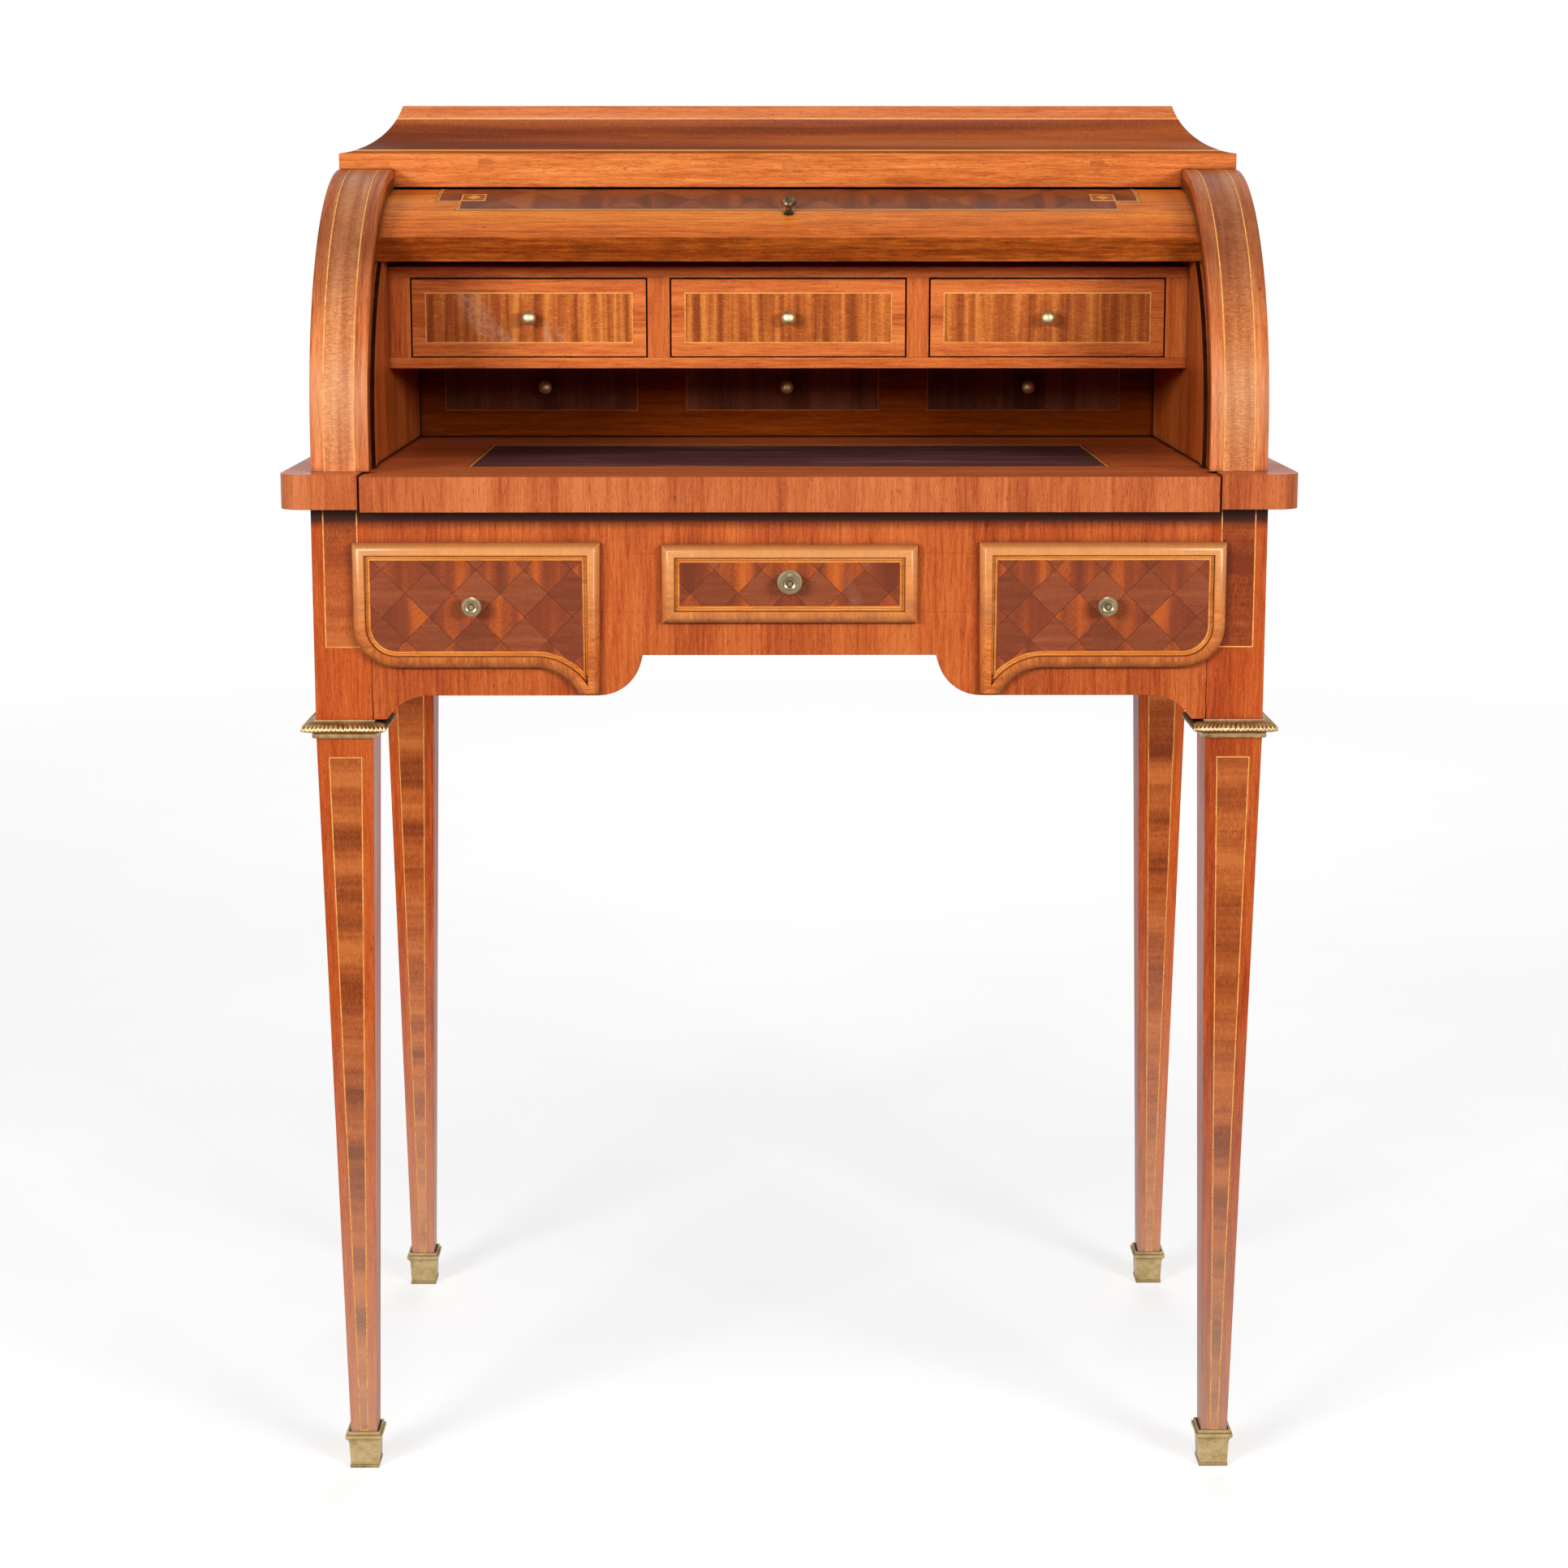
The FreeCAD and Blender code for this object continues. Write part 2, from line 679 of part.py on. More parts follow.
def build_slide():
    """Writing slide with its tongues and front lip, and the leather in its top."""
    body = plate("writing_slide", "XY", "slide_z", "slide_top",
                 rectangle(both_ways("slide_half"), ("top_front", "slide_back")))
    pad(body, "XY", "slide_z - slide_lip", "slide_z",
        rectangle(both_ways("slide_half"), ("top_front", "front - slide_lip_gap")))
    pad(body, "XY", "tongue_low", "tongue_top",
        rectangle(both_ways("slide_half + tongue_reach"), ("top_front + tongue_start", "slide_back")))
    leather = rectangle(both_ways("leather_half"), ("leather_y", "leather_y + leather_depth"))
    pocket(body, "XY", "slide_top", "leather_thick", leather)
    node(body, "writing_slide")
    node(plate("slide_leather", "XY", "slide_top - leather_thick", "slide_top", leather), "slide_leather")


# Cheeks, linings and the cylinder

def rear_point(radius):
    """Where a circle about the roll's axis meets the shelf's level behind the axis."""
    return f"roll_y + sqrt(({radius}) ^ 2 - (shelf_top - roll_z) ^ 2)"


def build_cheeks():
    """Quarter-round cheeks, each with the wide recess that becomes the cylinder's groove, and linings."""
    outline = [
        ("front + cheek_front", "top_z"),
        ("back_panel_front", "top_z"),
        ("back_panel_front", "crest_z"),
        ("roll_y", "crest_z", "cheek_radius", 1),
        ("front + cheek_front", "roll_z"),
    ]
    cheek = plate("cheek_left", "YZ", "-half_case", "-post_inner", outline)
    recess = [
        ("roll_y - groove_outer", "top_z"),
        ("back_panel_front", "top_z"),
        ("back_panel_front", "shelf_top"),
        (rear_point("groove_outer"), "shelf_top", "groove_outer", 1),
        ("roll_y - groove_outer", "roll_z"),
    ]
    pocket(cheek, "YZ", "-post_inner", "groove_depth", recess)
    lining_outline = [
        ("roll_y - sqrt(lining_radius ^ 2 - cheek_rise ^ 2)", "top_z"),
        ("back_panel_front", "top_z"),
        ("back_panel_front", "shelf_top"),
        (rear_point("lining_radius"), "shelf_top", "lining_radius", 1),
    ]
    lining = plate("lining_left", "YZ", "-groove_floor", "-bay_half", lining_outline)
    for piece, name in ((cheek, "cheek"), (lining, "lining")):
        node(piece, name + "_left")
        node(mirrored(piece, name + "_right"), name + "_right")
    node(board("upper_back_panel", both_ways("half_case"), ("back_panel_front", "case_back"),
               ("top_z", "crest_z")), "upper_back_panel")


def build_fall():
    """Cylinder fall in its open place, its knob, and the rail that stops it."""
    def point(radius, angle):
        return (f"roll_y - ({radius}) * cos({angle})", f"roll_z + ({radius}) * sin({angle})")

    outline = [
        (*point("fall_outer", "far_angle"), "fall_outer", 1),
        point("fall_outer", "fall_open_angle"),
        (*point("fall_inner", "fall_open_angle"), "fall_inner", -1),
        point("fall_inner", "far_angle"),
    ]
    node(plate("cylinder_fall", "YZ", "-fall_half", "fall_half", outline), "cylinder_fall")
    knob = turned("cylinder_knob", "0", "0", "0", small_knob_section())
    knob.Placement = FreeCAD.Placement(FreeCAD.Vector(), FreeCAD.Rotation(FreeCAD.Vector(1, 0, 0), -1))
    knob.setExpression("Placement.Rotation.Angle", formula("-fall_knob_angle"))
    seat = point("fall_outer", "fall_knob_angle")
    knob.setExpression("Placement.Base.y", formula(seat[0]))
    knob.setExpression("Placement.Base.z", formula(seat[1]))
    node(knob, "cylinder_knob")
    node(board("fall_stop_rail", both_ways("post_inner"),
               ("stop_y - stop_width / 4", "stop_y + stop_width * 3 / 4"), ("shelf_top", "stop_top")),
         "fall_stop_rail")


# Cornice

def build_cornice():
    """Front rail notched over the cheeks, board on the cheeks and the cavetto cap."""
    rail = [
        ("-half_case", "board_top"),
        ("-half_case", "crest_z"),
        ("-post_inner", "crest_z"),
        ("-post_inner", "rail_low"),
        ("post_inner", "rail_low"),
        ("post_inner", "crest_z"),
        ("half_case", "crest_z"),
        ("half_case", "board_top"),
    ]
    node(plate("cornice_rail", "XZ", "rail_front", "rail_back", rail), "cornice_rail")
    node(board("cornice_board", both_ways("half_case"), ("rail_back", "case_back"),
               ("crest_z", "board_top")), "cornice_board")
    across = [
        ("-half_case", "board_top"),
        ("half_case", "board_top", "cap_radius", -1),
        ("half_case - cap_setback", "cap_top"),
        ("-half_case + cap_setback", "cap_top", "cap_radius", -1),
    ]
    along = [
        ("rail_front", "board_top"),
        ("case_back", "board_top"),
        ("case_back", "cap_top"),
        ("rail_front + cap_setback", "cap_top", "cap_radius", -1),
    ]
    wide = plate("cap_across", "XZ", "rail_front", "case_back", across)
    deep = plate("cap_along", "YZ", *both_ways("half_case"), along)
    node(joined("Common", "cornice_cap", wide, deep), "cornice_cap")


# Knobs

def knob_section():
    """Half section of a turned apron knob: foot, neck, ringed head and centre button."""
    return [
        ("0", "0"),
        ("0", "knob_foot"),
        ("-knob_length / 7", "knob_foot"),
        ("-knob_length / 5", "knob_neck"),
        ("-knob_length / 2", "knob_neck"),
        ("-knob_length * 0.62", "knob_head * 0.93"),
        ("-knob_length * 0.7", "knob_head"),
        ("-knob_length * 0.82", "knob_head"),
        ("-knob_length * 0.88", "knob_head * 0.86"),
        ("-knob_length * 0.88", "knob_head * 0.66"),
        ("-knob_length * 0.95", "knob_head * 0.58"),
        ("-knob_length * 0.9", "knob_head * 0.34"),
        ("-knob_length", "knob_head * 0.22"),
        ("-knob_length", "0"),
    ]


def small_knob_section():
    """Half section of a mushroom knob for the small drawers and the cylinder."""
    return [
        ("0", "0"),
        ("0", "small_knob_foot"),
        ("-small_knob_length * 0.1", "small_knob_foot"),
        ("-small_knob_length * 0.16", "small_knob_neck"),
        ("-small_knob_length * 0.45", "small_knob_neck"),
        ("-small_knob_length * 0.62", "small_knob_head", "small_knob_head * 0.5", 1),
        ("-small_knob_length + dome_height", "dome_half", "dome_radius", 1),
        ("-small_knob_length", "0"),
    ]


# Drawers

def box_boards(name, x, y, z, front, wall, bottom):
    """Drawer box as five separate boards: front, back, two sides and a bottom."""
    inside_x = (f"{x[0]} + {wall}", f"{x[1]} - {wall}")
    inside_y = (f"{y[0]} + {front}", f"{y[1]} - {wall}")
    sizes = {
        "front": (x, (y[0], inside_y[0]), z),
        "back": (x, (inside_y[1], y[1]), z),
        "left": ((x[0], inside_x[0]), inside_y, z),
        "right": ((inside_x[1], x[1]), inside_y, z),
        "bottom": (inside_x, inside_y, (z[0], f"{z[0]} + {bottom}")),
    }
    return [board(f"{name}_{side}", *spans) for side, spans in sizes.items()]


def rounded_frame(name, outer, inner):
    """Frame moulding between two outlines, rounded over on its front."""
    body = plate(name, "XZ", "frame_front", "lip_back", outer, inner)
    doc.recompute()
    face = number("frame_front")
    frame = body.Tip
    edges = [f"Edge{index}" for index, edge in enumerate(frame.Shape.Edges, start=1)
             if abs(edge.BoundBox.YMin - face) < 1e-6 and abs(edge.BoundBox.YMax - face) < 1e-6]
    rounding = body.newObject("PartDesign::Fillet", name + "_rounding")
    rounding.Base = (frame, edges)
    rounding.setExpression("Radius", formula("frame_round"))
    return body


def side_front_outlines():
    """Outer and inner outline of the left drawer's frame, hooked at the bottom towards the middle."""
    outer = [
        ("-side_front_outer", "side_front_top"),
        ("-side_front_outer", "side_front_low + side_front_corner", "side_front_corner", 1),
        ("-side_front_outer + side_front_corner", "side_front_low"),
        ("-hook_start", "side_front_low", "hook_radius", -1),
        ("-side_front_inner - tip_width", "side_front_tip"),
        ("-side_front_inner", "side_front_tip"),
        ("-side_front_inner", "side_front_top"),
    ]
    inner = [
        ("-field_outer", "field_top"),
        ("-field_outer", "side_front_low + side_front_corner", "field_corner", 1),
        ("-side_front_outer + side_front_corner", "field_low"),
        ("-hook_start", "field_low", "field_hook", -1),
        ("-field_inner", "field_tip"),
        ("-field_inner", "field_top"),
    ]
    return outer, inner


def build_apron_drawers():
    """Two shaped drawers, the right one a twin of the left, and the straight one between them."""
    outer, inner = side_front_outlines()
    left = {
        "moulding": rounded_frame("left_drawer_moulding", outer, inner),
        "field": plate("left_drawer_field", "XZ", "field_front", "lip_back", inner),
        "knob": turned("left_drawer_knob", "-side_knob_x", "field_front", "side_knob_z",
                       knob_section()),
    }
    box = box_boards("left_box", ("-side_box_outer", "-side_box_inner"), ("lip_back", "box_back"),
                     ("side_box_low", "box_top"), "box_front", "box_wall", "box_bottom")
    for name, piece in left.items():
        node(piece, "left_drawer_" + name)
        node(mirrored(piece, "right_drawer_" + name), "right_drawer_" + name)
    group("left_drawer_box", box)
    group("right_drawer_box", [mirrored(piece, piece.Name + "_twin") for piece in box])
    build_centre_drawer()


def build_centre_drawer():
    """Straight drawer under the arch, whose knob has a back plate."""
    outer = rectangle(both_ways("centre_front_half"), ("centre_front_low", "centre_front_top"))
    inner = rectangle(both_ways("centre_front_half - frame_width"),
                      ("centre_front_low + frame_width", "centre_front_top - frame_width"))
    node(rounded_frame("centre_drawer_moulding", outer, inner), "centre_drawer_moulding")
    node(plate("centre_drawer_field", "XZ", "field_front", "lip_back", inner), "centre_drawer_field")
    group("centre_drawer_box",
          box_boards("centre_box", both_ways("centre_box_half"), ("lip_back", "box_back"),
                     ("centre_box_low", "box_top"), "box_front", "box_wall", "box_bottom"))
    section = knob_section()
    section[1] = ("0", "knob_plate")
    section[2] = ("-knob_length / 7", "knob_plate")
    node(turned("centre_drawer_knob", "0", "field_front", "centre_knob_z", section),
         "centre_drawer_knob")


def build_gallery():
    """Gallery: top, shelf, uprights and back, with three small drawers."""
    width = both_ways("bay_half")
    node(board("gallery_top", width, ("gallery_y", "gallery_back"), ("gallery_board_z", "gallery_top")),
         "gallery_top")
    node(board("gallery_shelf", width, ("gallery_y", "back_panel_front"), ("shelf_z", "shelf_top")),
         "gallery_shelf")
    depth = ("gallery_y", "gallery_back - gallery_board")
    height = ("shelf_top", "gallery_board_z")
    uprights = [board(f"upright_{index}",
                      (f"-bay_half + {index} * gallery_pitch",
                       f"-bay_half + {index} * gallery_pitch + gallery_upright"), depth, height)
                for index in range(4)]
    group("gallery_uprights", uprights)
    node(board("gallery_backboard", width, (depth[1], "gallery_back"), height), "gallery_backboard")
    for side, name in ((-1, "upper_left"), (0, "upper_centre"), (1, "upper_right")):
        build_small_drawer(name + "_drawer", f"{side} * gallery_pitch")


def build_small_drawer(name, middle):
    """Inset drawer of the gallery with a mushroom knob."""
    half = "gallery_opening / 2 - drawer_gap"
    x = (f"{middle} - ({half})", f"{middle} + ({half})")
    z = ("shelf_top + running_gap", "gallery_board_z - drawer_gap")
    node(board(name + "_front", x, ("gallery_y", "gallery_y + small_front_thick"), z), name + "_front")
    depth = ("gallery_y + small_front_thick", "gallery_back - gallery_board - running_gap")
    group(name + "_box", box_boards(name + "_box", x, depth, z, "small_wall", "small_wall", "small_bottom"))
    node(turned(name + "_knob", middle, "gallery_y", "(shelf_top + gallery_board_z) / 2",
                small_knob_section()), name + "_knob")


def build_rear_drawer():
    """Long drawer under the shelf at the back, with three knobs, and the floor that it runs on."""
    node(board("rear_floor", both_ways("bay_half"), ("rear_front_back + running_gap", "back_panel_front"),
               ("top_z", "rear_floor_top")), "rear_floor")
    low = "slide_top + rear_clearance"
    high = "shelf_z - running_gap"
    node(board("rear_drawer_front", both_ways("bay_half - drawer_gap"), ("rear_y", "rear_front_back"),
               (low, high)), "rear_drawer_front")
    group("rear_drawer_box",
          box_boards("rear_box", both_ways("rear_box_half"),
                     ("rear_front_back", "back_panel_front - rear_box_back"),
                     ("rear_floor_top + running_gap", f"{high} - running_gap"),
                     "small_wall", "small_wall", "small_bottom"))
    knobs = [turned(f"rear_knob_{index + 2}", f"{index} * rear_knob_spacing", "rear_y",
                    f"({low} + {high}) / 2 + gallery_board", small_knob_section())
             for index in (-1, 0, 1)]
    group("rear_drawer_knobs", knobs)


def check_and_write():
    """Checks every object and writes one file for each sub-part."""
    doc.recompute()
    for item in doc.Objects:
        if "Invalid" in item.State or "Error" in item.State:
            raise RuntimeError(f"{item.Name} failed: {item.State}")
    for piece in nodes:
        if piece.Shape.isNull() or not piece.Shape.isValid():
            raise RuntimeError(piece.Label + " has no valid shape")
    os.makedirs("parts", exist_ok=True)
    for piece in nodes:
        piece.Shape.exportStep(f"parts/{piece.Label}.step")
        print(f"{piece.Label}: {len(piece.Shape.Solids)} solid(s), {piece.Shape.Volume / 1000:.1f} cm3")
    print(len(nodes), "sub-parts")


sheet = fill_sheet()
build_legs()
build_aprons()
build_inner_frame()
build_table_top()
build_slide()
build_cheeks()
build_fall()
build_cornice()
build_apron_drawers()
build_gallery()
build_rear_drawer()
check_and_write()
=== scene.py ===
"""Looks of the cylinder desk: inlays, gadrooned collars, woods, leather and metals."""
import json
from math import acos, asin, cos, hypot, pi, radians, sin, sqrt

import bpy
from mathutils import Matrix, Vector


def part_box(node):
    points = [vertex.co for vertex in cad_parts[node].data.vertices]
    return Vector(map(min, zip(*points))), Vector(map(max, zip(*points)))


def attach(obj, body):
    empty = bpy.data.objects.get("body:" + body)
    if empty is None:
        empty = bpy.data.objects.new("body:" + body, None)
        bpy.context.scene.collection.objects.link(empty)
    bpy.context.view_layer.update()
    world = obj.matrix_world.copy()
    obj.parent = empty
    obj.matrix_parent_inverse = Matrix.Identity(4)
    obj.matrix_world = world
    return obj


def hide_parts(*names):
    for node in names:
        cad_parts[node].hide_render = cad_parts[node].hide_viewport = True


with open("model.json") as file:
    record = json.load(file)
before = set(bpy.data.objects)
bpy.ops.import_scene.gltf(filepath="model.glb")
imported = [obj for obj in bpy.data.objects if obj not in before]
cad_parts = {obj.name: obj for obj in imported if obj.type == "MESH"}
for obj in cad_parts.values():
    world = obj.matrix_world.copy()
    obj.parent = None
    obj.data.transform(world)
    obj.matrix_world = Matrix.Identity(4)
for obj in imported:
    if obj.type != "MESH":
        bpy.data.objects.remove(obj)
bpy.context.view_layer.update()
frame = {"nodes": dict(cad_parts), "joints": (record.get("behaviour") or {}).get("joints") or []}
nodes = frame["nodes"]
scene = bpy.context.scene

# Places from the frame, in metres

roll = next(joint for joint in frame["joints"] if joint["name"] == "fall_roll")
roll_y, roll_z = roll["pos_m"][1:]
cheek_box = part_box("cheek_left")
cheek_radius = roll_y - cheek_box[0][1]
cheek_upright = roll_z - cheek_box[0][2]
fall_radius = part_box("cylinder_fall")[1][2] - roll_z
collar_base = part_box("leg_collars")[0][2]
case_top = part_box("leg_front_left")[1][2]

# Sizes of inlays and mouldings that the frame doesn't give, in metres

LIFT = 0.00008
INLAY_DEPTH = 0.0004
STRING = 0.0009
JOINT_HALF = 0.0005
HAIR = 0.0001
NEAR = 0.0003
PANEL_ABOVE_SABOT = 0.001
PANEL_TOP_BELOW_COLLAR = 0.015
PANEL_HALF_AT_TOP = 0.0112
PANEL_HALF_AT_FOOT = 0.0022
POST_PANEL_HALF = 0.0115
POST_PANEL_BELOW_TOP = 0.1
POST_JOINT_RISE = 0.035
CRACK_HALF = 0.00014
CRACK_GAPE = 0.00026
CRACK_WANDER = 0.0003
GADROON_HEIGHT = 0.0014
GADROONS_PER_SIDE = 20
GADROON_STEPS = 5
FRAME_FLAT = 0.0022
FIELD_STRINGS = (0, 0.0004, 0.0018, 0.0022, 0.0036)
LEATHER_STRING = STRING * 1.6
LEATHER_BORDER = 0.0035
CHEEK_STRING_INSET = 0.0102
LIP_WIDTH = 0.0215
LIP_STAND = 0.003
LIP_ROUND = 0.0004
LIP_END = radians(62)
FALL_FIELD_HALF = 0.2595
FALL_FIELD_START = radians(66)
FALL_FIELD_END = radians(142)
FALL_STRINGS = (-0.0034, -0.003, -0.0021, -0.0012, -0.0003, 0)
CORNER_SQUARE = 0.0165
PETAL_OUT = 0.0027
PETAL_RADIUS = 0.0021
CAP_STRING_LOW = 0.0022
CAP_STRING_HIGH = 0.0265
CAP_SETBACK = 0.044
CAP_RADIUS = 0.0536
PLUG_RADIUS = 0.0058
PLUG_BELOW_TOP = 0.0085
PLUG_PLACES = (-0.2295, 0.001, 0.2345)
UPPER_PANEL_INSET = 0.0112
REAR_PANEL_HALF = 0.0785
REAR_PANEL_LOW = 0.0215
REAR_PANEL_HIGH = 0.006
REAR_PANEL_SHIFT = -0.0035
KNOB_RADIUS = 0.0055

# Marks and painted shade in the materials, in metres; a scuff is its shares across and up a front, turn and
# reach

BUMP_DEPTH = 0.0004
EDGE_ROUND = 0.0008
RECESS_REACH = 0.007
OVERHANG_SHADE = 0.02
PARQUETRY_SEAM = 0.0004
FIELD_ACROSS = -0.00304
FIELD_UP = 0.0108
FALL_START = radians(52.5) + 0.004
CHEEK_RIM = 0.0065
SCUFFS = ((0.28, 0.55, -58, (0.034, 0.011)), (0.36, 0.32, -35, (0.022, 0.006)),
          (0.58, 0.28, -80, (0.017, 0.0035)), (0.64, 0.22, -66, (0.014, 0.003)))

# Camera, floor and light

CAMERA_LENS = 67.34
CAMERA_SHIFT = -0.06
CAMERA_PLACE = (-0.0149, -2.2823, 0.9354)
CAMERA_PITCH = 9.321
CAMERA_YAW = -0.3
WORLD_LIGHT = 0.05
FLOOR_REACH = 6.0
FLOOR_GLOW = 0.63
WHITE = (1, 1, 1, 1)

# Woods of the dark and the pale inlays; the others are mahogany veneer

DARK_INLAYS = ("leg_panel_wood", "back_leg_panel_wood", "post_panel_wood", "crack_grime", "fall_parquetry",
               "rear_panel_wood")
PALE_INLAYS = ("string_wood", "field_string_wood", "dark_string_wood", "joint_grime", "square_wood",
               "moulding_wood")
SIDES = ("left", "centre", "right")
FORWARD = (0, -1, 0)
materials = {}


# Node building

class Field:
    """Output of a shader node; sums and products of fields add math nodes."""

    def __init__(self, tree, socket):
        self.tree = tree
        self.socket = socket

    def math(self, operation, *others):
        return calc(self.tree, operation, self, *others)

    def __add__(self, other):
        return self.math("ADD", other)

    def __sub__(self, other):
        return self.math("SUBTRACT", other)

    def __rsub__(self, other):
        return calc(self.tree, "SUBTRACT", other, self)

    def __mul__(self, other):
        return self.math("MULTIPLY", other)

    def __truediv__(self, other):
        return self.math("DIVIDE", other)

    def __abs__(self):
        return self.math("ABSOLUTE")


def linear(*shade):
    """Linear colour from the 0 to 255 values of a colour as it is seen."""
    shares = [value / 255 for value in shade]
    return [share / 12.92 if share <= 0.04045 else ((share + 0.055) / 1.055) ** 2.4 for share in shares] + [1]


def put(tree, socket, value):
    """Links a field, an output or a node's first output into a socket, or sets a constant."""
    if isinstance(value, Field):
        value = value.socket
    if isinstance(value, bpy.types.Node):
        value = value.outputs[0]
    if isinstance(value, bpy.types.NodeSocket):
        tree.links.new(value, socket)
    else:
        socket.default_value = value


def add(tree, kind, inputs, **settings):
    """New shader node with its settings, and with its inputs linked or set."""
    made = tree.nodes.new("ShaderNode" + kind)
    for key, value in settings.items():
        setattr(made, key, value)
    for key, value in inputs.items():
        put(tree, made.inputs[key], value)
    return made


def field(tree, kind, output, inputs, **settings):
    """Field from one output of a new node."""
    return Field(tree, add(tree, kind, inputs, **settings).outputs[output])


def calc(tree, operation, *values):
    """Field from one math node."""
    return field(tree, "Math", 0, dict(enumerate(values)), operation=operation)


def split(point):
    """A point's three coordinates."""
    return [Field(point.tree, part) for part in add(point.tree, "SeparateXYZ", {"Vector": point}).outputs]


def joined(x, y=0.0, z=0.0):
    """Point from its coordinates."""
    return field(x.tree, "CombineXYZ", 0, {"X": x, "Y": y, "Z": z})


def object_point(tree):
    """The row frame's own coordinates, in metres."""
    return field(tree, "TexCoord", "Object", {})


def height_at(tree):
    """Height above the floor, in metres."""
    return split(object_point(tree))[2]


def upward(tree):
    """How far a face looks up: 1 on top, 0 upright, -1 underneath."""
    return split(field(tree, "NewGeometry", "Normal", {}))[2]


def level_point(tree):
    """Coordinates that lay upright grain across the desk on level faces."""
    point = object_point(tree)
    x, y, z = split(point)
    level = abs(upward(tree)).math("GREATER_THAN", 0.5)
    return field(tree, "Mix", 1, {0: level, 4: point, 5: joined(z, y, x)}, data_type="VECTOR")


def curve_point(tree):
    """Coordinates whose Z runs up the cheeks' fronts and round their curve."""
    x, y, z = split(object_point(tree))
    rise = z - roll_z
    angle = rise.math("MAXIMUM", 0.0).math("ARCTAN2", roll_y - y)
    return joined(x, z=angle * cheek_radius + rise.math("MINIMUM", 0.0))


def stretched(tree, along, squeeze, offset, place=object_point):
    """Coordinates drawn out along the grain."""
    scale = [squeeze if axis == along else 1.0 for axis in "XYZ"]
    inputs = {"Vector": place(tree), "Location": (offset, offset * 0.7, offset * 1.3), "Scale": scale}
    return field(tree, "Mapping", "Vector", inputs)


def noise(point, scale, detail, roughness=0.55, distortion=0.0):
    """Value of a noise texture."""
    inputs = {"Vector": point, "Scale": scale, "Detail": detail, "Roughness": roughness}
    return field(point.tree, "TexNoise", "Fac", {**inputs, "Distortion": distortion})


def ramp(factor, stops):
    """Colour from a factor, through (place, colour) stops."""
    made = add(factor.tree, "ValToRGB", {"Fac": factor})
    elements = made.color_ramp.elements
    while len(elements) < len(stops):
        elements.new(0.5)
    for element, (place, colour) in zip(elements, stops):
        element.position = place
        element.color = colour
    return Field(factor.tree, made.outputs["Color"])


def grey_ramp(factor, *stops):
    """Grey value from a factor, through (place, value) stops."""
    return ramp(factor, [(place, (value, value, value, 1)) for place, value in stops])


def shaded(factor, places, shades):
    """Colour from a factor, through shades as they are seen."""
    return ramp(factor, [(place, linear(*shade)) for place, shade in zip(places, shades)])


def blended(factor, first, second):
    """Two colours mixed by a factor."""
    return field(factor.tree, "Mix", 2, {0: factor, 6: first, 7: second}, data_type="RGBA")


def new_material(name):
    """Tree and surface shader of a new material, kept by its name."""
    material = bpy.data.materials.new(name)
    material.use_nodes = True
    materials[name] = material
    return material.node_tree, material.node_tree.nodes["Principled BSDF"]


def finish_surface(shader, colour, roughness, relief, strength, edge=0.0):
    """Links colour, roughness and bump into the shader, over edges worn round."""
    tree = colour.tree
    bump = add(tree, "Bump", {"Height": relief, "Strength": strength, "Distance": BUMP_DEPTH})
    if edge:
        put(tree, bump.inputs["Normal"], field(tree, "Bevel", "Normal", {"Radius": edge}, samples=4))
    for name, value in (("Base Color", colour), ("Roughness", roughness), ("Normal", bump)):
        put(tree, shader.inputs[name], value)


def polish(shader, coat=0.06):
    """French polish over wood, or bare wood for a coat of 0."""
    shader.inputs["Specular IOR Level"].default_value = 0.12 if coat else 0.0
    shader.inputs["Coat Weight"].default_value = coat
    shader.inputs["Coat Roughness"].default_value = 0.18


# Painted shade and light, dust and marks of use

def recess_shade(tree):
    """1 deep in gaps and corners, where shade falls, and 0 on open faces: a mask of painted shade."""
    open_share = field(tree, "AmbientOcclusion", "AO", {"Distance": RECESS_REACH}, samples=6)
    return grey_ramp(open_share, (0.3, 0.85), (0.85, 0.0))


def groove_side_shade(tree):
    """Painted shade on the cheeks' inner sides, but for the rim at the front, and in gaps and corners."""
    x, y, z = split(object_point(tree))
    inner = abs(x).math("LESS_THAN", abs(cheek_box[1][0]) + NEAR)
    forward = roll_y - y
    rise = (z - roll_z).math("MAXIMUM", 0.0)
    spread = (rise * rise + forward * forward).math("SQRT")
    deep = spread.math("LESS_THAN", cheek_radius - CHEEK_RIM)
    return recess_shade(tree).math("MAXIMUM", inner * deep * 0.75)


def overhang_shadow(tree):
    """Painted shadow close under the table top, and painted shade in gaps and corners."""
    below = case_top - height_at(tree)
    band = grey_ramp(below / OVERHANG_SHADE, (0.46, 0.97), (0.63, 0.5), (0.82, 0.0))
    return recess_shade(tree).math("MAXIMUM", band)


def fall_end_shade(tree):
    """Blotchy painted shade on the cylinder's lower end, which faces down, and in gaps and corners."""
    way = on_cylinder(object_point(tree))[1]
    end = (way / fall_radius).math("LESS_THAN", FALL_START)
    blotch = noise(stretched(tree, "X", 0.4, 4.0), 120.0, 5.0, 0.65)
    return recess_shade(tree).math("MAXIMUM", end * grey_ramp(blotch, (0.38, 0.42), (0.62, 0.04)))


def dusted(colour, offset, place):
    """Colour under fine pale dust."""
    dust = noise(stretched(colour.tree, "Y", 0.6, offset + 8.3, place), 420.0, 4.0, 0.7)
    return blended(grey_ramp(dust, (0.52, 0.0), (0.8, 0.1)), colour, linear(236, 190, 158))


def under_shade_and_marks(colour, dirt, marks):
    """Colour under painted shade, then under its marks."""
    if dirt:
        # painted shade: dark brown where the shade mask is 1
        colour = blended(dirt(colour.tree), colour, linear(52, 20, 10))
    return marks(colour) if marks else colour


